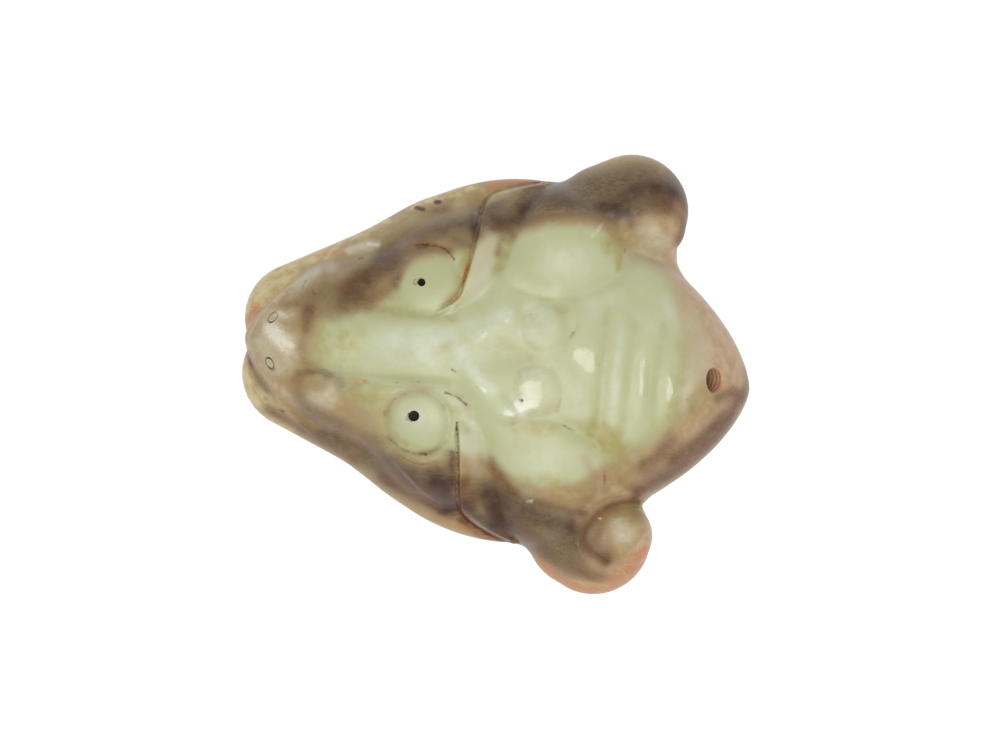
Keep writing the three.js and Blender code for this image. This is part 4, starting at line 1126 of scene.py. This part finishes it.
# %% Carry the tables onto the mesh
mesh = mask.data
places = np.empty(len(mesh.vertices) * 3, np.float32)
mesh.vertices.foreach_get("co", places)
places = places.reshape(-1, 3) / MM + MIDDLE
BACK_STAIN = 0.3
on_face = ease(9, 14, places[:, 2])
towards_back = BACK_STAIN + (1 - BACK_STAIN) * ease(2, 9.5, places[:, 2])
FADES = {"line": on_face, "polish": on_face, "skin": 1.0}


def keep_layer(name, values):
    layer = mesh.attributes.new(name, "FLOAT", "POINT")
    layer.data.foreach_set("value", values.astype(np.float32))


for name, table in tables.items():
    values = look_up(table, places[:, 0], places[:, 1])
    keep_layer(name, values * FADES.get(name, towards_back))
print("layers kept at", len(places), "corners")

# %% Find the walls of the drilled holes
PLAY, BORE_PLAY = 0.02, 0.12
BORE_MOUTH, BORE_END = 2.5, -40
NOSTRIL_SHADES = (0.12, 0.32)
MOUTH_SHADE, SHADE_GROWS, MOST_SHADE = 0.13, 0.03, 0.32
# painted shade: the pupils, the floor of each nostril ring and the bore of the cord hole get darker the
# deeper they lie
depth_in_hole = np.full(len(places), -1.0)
for at, radius, _ in PUPILS:
    near = np.hypot(places[:, 0] - at[0], places[:, 1] - at[1]) < radius + PLAY
    depth_in_hole[near] = np.maximum(depth_in_hole[near], surface_at(*at) - places[near, 2])


def in_drill(way, at):
    """How far each corner is along a drill's axis from its mouth, and how far out from the axis."""
    along = (places - at) @ way
    return along, np.linalg.norm(places - at - along[:, None] * way, axis=1)


nostril_way = np.array(NOSTRIL_WAY) / np.linalg.norm(NOSTRIL_WAY)
for at, ring_shade in zip(NOSTRILS, NOSTRIL_SHADES):
    along, out = in_drill(nostril_way, np.array((*at, surface_at(*at))))
    ring = (out > NOSTRIL_RING[0] - PLAY) & (out < NOSTRIL_RING[1] + PLAY)
    depth_in_hole[ring & (np.abs(along + NOSTRIL_DEEP) < 0.2)] = ring_shade
along, out = in_drill(HOLE_WAY, HOLE_AT)
bore_wall = (out < HOLE_RADIUS + BORE_PLAY) & (places[:, 2] > 0.5)
bore_wall &= (along < BORE_MOUTH) & (along > BORE_END)
depth_in_hole[bore_wall] = np.clip(MOUTH_SHADE - SHADE_GROWS * along[bore_wall], 0, MOST_SHADE)
keep_layer("hole_shade", ease(0.1, 0.5, depth_in_hole))
keep_layer("bore", bore_wall)
print("layers:", ", ".join(a.name for a in mesh.attributes if a.data_type == "FLOAT"))

# %% [markdown]
# ## The jade
#
# Polished jade is a waxy, slightly translucent stone: light goes a millimetre or two in and comes
# out again, which softens every crease. So the shader has some subsurface light under a clear
# polish. The stains could be painted into an image instead, but an image needs a flat layout of
# the mesh, and layers with a little noise stay sharp at any size. Colours are given as they are
# seen in the studio, where the polish mirrors some white over them, so that veil is taken off.

# %% Colours as they are seen
VEIL = 0.04


def seen(red, green, blue):
    """The reflectance that shows as this screen colour in the studio light."""
    screen = np.array((red, green, blue)) / 255
    linear = np.where(screen < 0.04045, screen / 12.92, ((screen + 0.055) / 1.055) ** 2.4)
    return (*np.clip(linear - VEIL, 0.004, 0.9), 1.0)


print("beige of the skin as reflectance:", np.round(seen(180, 160, 120)[:3], 2))

# %% Small helpers for the nodes
jade = bpy.data.materials.new("jade")
jade.use_nodes = True
tree = jade.node_tree
tree.nodes.clear()


def wire(socket, value):
    """Links a socket to another node's output, or sets it to a plain value."""
    if isinstance(value, bpy.types.NodeSocket):
        tree.links.new(value, socket)
    else:
        socket.default_value = value


def add(kind, sockets, **settings):
    node = tree.nodes.new(kind)
    for name, value in settings.items():
        setattr(node, name, value)
    for name, value in sockets.items():
        wire(node.inputs[name], value)
    return node


def reckon(operation, a, b=0.0):
    return add("ShaderNodeMath", {0: a, 1: b}, operation=operation).outputs[0]


def smooth(value, low_end, high_end, to_low=0.0, to_high=1.0):
    sockets = {"Value": value, "From Min": low_end, "From Max": high_end, "To Min": to_low, "To Max": to_high}
    return add("ShaderNodeMapRange", sockets, interpolation_type="SMOOTHSTEP").outputs["Result"]


def blend(share, a, b):
    return add("ShaderNodeMix", {0: share, 6: a, 7: b}, data_type="RGBA").outputs[2]


def layer_of(name):
    return add("ShaderNodeAttribute", {}, attribute_name=name).outputs["Fac"]


# %% Noise in millimetres, and stains frayed by it
GRAIN_TURN = math.radians(-32)
where = add("ShaderNodeTexCoord", {}).outputs["Object"]
in_mm = add("ShaderNodeVectorMath", {0: where, 3: 1 / MM}, operation="SCALE").outputs[0]


def grain(size, detail=4.0, roughness=0.55, stretch=(1, 1, 1), shift=0.0):
    """Noise whose lumps are about so many millimetres, from 0 to 1."""
    turn = (0, 0, GRAIN_TURN)
    moved = {"Vector": in_mm, "Location": (shift, shift, shift), "Rotation": turn, "Scale": stretch}
    place = add("ShaderNodeMapping", moved)
    sockets = {"Vector": place.outputs[0], "Scale": 1 / size, "Detail": detail, "Roughness": roughness}
    return smooth(add("ShaderNodeTexNoise", sockets).outputs["Fac"], 0.25, 0.75)


def frayed(name, noise, amount, low_end=0.05, high_end=0.95):
    """A stain layer that noise makes thicker here and thinner there."""
    ends = {"Value": noise, "To Min": 1 - amount, "To Max": 1 + amount}
    fray = add("ShaderNodeMapRange", ends).outputs["Result"]
    return smooth(reckon("MULTIPLY", layer_of(name), fray), low_end, high_end)


# %% Green stone, from olive depths and painted shade to pale clouds and painted sheen
drift = grain(9.0, detail=3.0, roughness=0.5)
mottle = grain(2.6, detail=5.0, roughness=0.6, shift=11.0)
fine = grain(0.8, roughness=0.6, stretch=(0.7, 1, 1), shift=23.0)
streaks = grain(0.5, detail=3.0, roughness=0.6, stretch=(0.3, 1.4, 1), shift=57.0)
wisps = reckon("ADD", reckon("MULTIPLY", mottle, 0.6), reckon("MULTIPLY", streaks, 0.4))

stone = blend(drift, seen(187, 188, 146), seen(193, 197, 160))
for share, colour in (
    (frayed("cloud_and_sheen", mottle, 0.35), seen(204, 210, 187)),
    (frayed("olive_and_shade", mottle, 0.4), seen(170, 160, 104)),
    (reckon("MULTIPLY", fine, 0.12), seen(176, 176, 132)),
):
    stone = blend(share, stone, colour)
print("green stone:", len(tree.nodes), "nodes")

# %% [markdown]
# ### Skin and stains
#
# Each layer lies over the one before: beige skin, rose and ochre, bleach with its painted highlights,
# then the dusky bands with umber, rust and smoke in them, where umber and rust also paint some shade,
# then thin lines, and last the frost of painted highlights. All could be mixed at once, but laid one
# over another each can be changed alone. Streaky noise breaks a band up into short hairs, as stain
# does along the grain of the stone.

# %% Skin and stains over it, with painted shade and highlights
skin = blend(mottle, seen(158, 134, 96), seen(180, 160, 120))
rose = blend(mottle, seen(182, 150, 120), seen(196, 170, 140))
ochre = blend(mottle, seen(190, 166, 116), seen(214, 196, 148))
dusk = blend(mottle, seen(92, 73, 54), seen(112, 94, 74))
dusk = blend(reckon("MULTIPLY", streaks, 0.8), dusk, seen(145, 128, 102))
smoke = blend(reckon("MULTIPLY", streaks, 0.4), seen(77, 55, 38), seen(103, 83, 60))
sand = grain(0.45, detail=2.0, roughness=0.5, shift=83.0)
grit = reckon("MULTIPLY", smooth(sand, 0.5, 0.9), layer_of("dusk"))
for share, colour in (
    (frayed("skin", mottle, 0.3), skin),
    (frayed("rose", mottle, 0.4), rose),
    (frayed("ochre", mottle, 0.4), ochre),
    (frayed("bleach_and_highlight", fine, 0.2), seen(196, 186, 158)),
    (frayed("dusk", wisps, 0.35, 0.0, 1.0), dusk),
    (frayed("umber_and_shade", wisps, 0.25), seen(114, 83, 59)),
    (frayed("rust_and_shade", streaks, 0.6, 0.1, 1.0), seen(191, 133, 93)),
    (frayed("smoke", wisps, 0.45, 0.0, 1.0), smoke),
    (reckon("MULTIPLY", grit, 0.28), seen(74, 56, 44)),
    (frayed("line", fine, 0.4, 0.22, 0.9), seen(112, 70, 46)),
    (frayed("painted_highlight", fine, 0.3, 0.1, 0.9), seen(224, 217, 200)),
):
    stone = blend(share, stone, colour)
print("with the skin and its stains:", len(tree.nodes), "nodes")

# %% Specks, pits and the painted shade of the holes
SPECKS_A_MM, SPECK_SHARE, SPECK_RADIUS = 0.28, 0.3, 0.14
PITS_A_MM, PIT_RADIUS = 1.6, 0.16
# the near-black of the painted shade in the holes
HOLE_DARK = (0.045, 0.026, 0.018, 1)

cells = add("ShaderNodeTexVoronoi", {"Vector": in_mm, "Scale": SPECKS_A_MM}, feature="F1")
chosen = {"Value": cells.outputs["Color"], "From Min": 1 - SPECK_SHARE, "To Max": SPECK_RADIUS}
speck_size = add("ShaderNodeMapRange", chosen).outputs[0]
speck = smooth(cells.outputs["Distance"], 0.0, reckon("ADD", speck_size, 0.001), 1.0, 0.0)
for share, colour in (
    (reckon("MULTIPLY", speck, 0.7), seen(96, 78, 52)),
    (layer_of("bore"), seen(206, 166, 132)),
    (layer_of("hole_shade"), HOLE_DARK),
):
    stone = blend(share, stone, colour)

pit_cells = add("ShaderNodeTexVoronoi", {"Vector": in_mm, "Scale": PITS_A_MM}, feature="F1")
pits = smooth(pit_cells.outputs["Distance"], 0.0, PIT_RADIUS)
height = reckon("MULTIPLY", pits, 0.4)
for noise, share in ((streaks, 0.2), (mottle, 1.2), (fine, 0.3)):
    height = reckon("ADD", height, reckon("MULTIPLY", noise, share))
bump = add("ShaderNodeBump", {"Height": height, "Strength": 0.25, "Distance": 0.05 * MM}).outputs[0]
print("with specks and pits:", len(tree.nodes), "nodes")

# %% [markdown]
# ### Polish
#
# The skin is worn to a soft sheen, and only the high smooth places on the forehead and the ribs
# still have a wet polish. So the roughness falls there, with an uneven edge, and the lamp shows.

# %% Polish, and the finished jade
DULL, WAXY = 0.42, 0.14
polished = frayed("polish", mottle, 0.6, 0.35, 0.65)
worn = smooth(polished, 0, 1, DULL, WAXY)
worn = reckon("ADD", worn, smooth(fine, 0, 1, -0.03, 0.03))
worn = reckon("MAXIMUM", worn, reckon("MULTIPLY", layer_of("hole_shade"), 0.9))

surface = add("ShaderNodeBsdfPrincipled", {
    "Base Color": stone,
    "Roughness": worn,
    "Normal": bump,
    "IOR": 1.61,
    "Specular IOR Level": 0.38,
    "Subsurface Weight": 0.35,
    "Subsurface Radius": (1.0, 0.8, 0.5),
    "Subsurface Scale": 2.0 * MM,
})
tree.links.new(surface.outputs[0], add("ShaderNodeOutputMaterial", {}).inputs["Surface"])
mask.data.materials.clear()
mask.data.materials.append(jade)
print("the jade has", len(tree.nodes), "nodes")

# %% [markdown]
# ## Studio
#
# The mask lies on a white floor in soft white light, with one square softbox overhead. The polish
# mirrors the softbox in small bright patches. A bright floor could be lit from all sides, but the
# stone would be bleached with it. So the floor glows by itself and stays white up to the stone.

# %% Floor, world and softbox
FLOOR_HALF = 4.0
floor_mesh = bpy.data.meshes.new("floor")
floor_corners = [(x * FLOOR_HALF, y * FLOOR_HALF, 0) for x, y in ((-1, -1), (1, -1), (1, 1), (-1, 1))]
floor_mesh.from_pydata(floor_corners, [], [(0, 1, 2, 3)])
floor = put("floor", floor_mesh)
PAPER_GREY, PAPER_GLOW, SKY_LIGHT = 0.12, 0.93, 0.57
WHITE = (1, 1, 1, 1)
paper = bpy.data.materials.new("white_paper")
paper.use_nodes = True
for name, value in {
    "Base Color": (PAPER_GREY, PAPER_GREY, PAPER_GREY, 1),
    "Roughness": 0.9,
    "Emission Color": WHITE,
    "Emission Strength": PAPER_GLOW,
}.items():
    paper.node_tree.nodes["Principled BSDF"].inputs[name].default_value = value
floor.data.materials.append(paper)

world = bpy.data.worlds.new("soft_white")
world.use_nodes = True
background = world.node_tree.nodes["Background"]
background.inputs["Color"].default_value = WHITE
background.inputs["Strength"].default_value = SKY_LIGHT
bpy.context.scene.world = world
bpy.context.scene.view_settings.view_transform = "Standard"

SOFTBOX_AT = Vector((0.15, -0.3, 1.8))
SOFTBOX_SIDE, SOFTBOX_RADIANCE = 1.05, 5.6
softbox = bpy.data.lights.new("softbox", "AREA")
softbox.shape = "SQUARE"
softbox.size = SOFTBOX_SIDE
softbox.energy = SOFTBOX_RADIANCE * math.pi * SOFTBOX_SIDE**2
lamp = put("softbox", softbox)
lamp.location = SOFTBOX_AT
lamp.rotation_euler = (-SOFTBOX_AT).to_track_quat("-Z", "Y").to_euler()
lamp.visible_camera = False
print("softbox", round(softbox.energy, 1), "W")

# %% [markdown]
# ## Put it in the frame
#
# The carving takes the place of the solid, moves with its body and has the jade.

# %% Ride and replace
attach(mask, "root")
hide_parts("beast_mask")

bpy.context.view_layer.update()
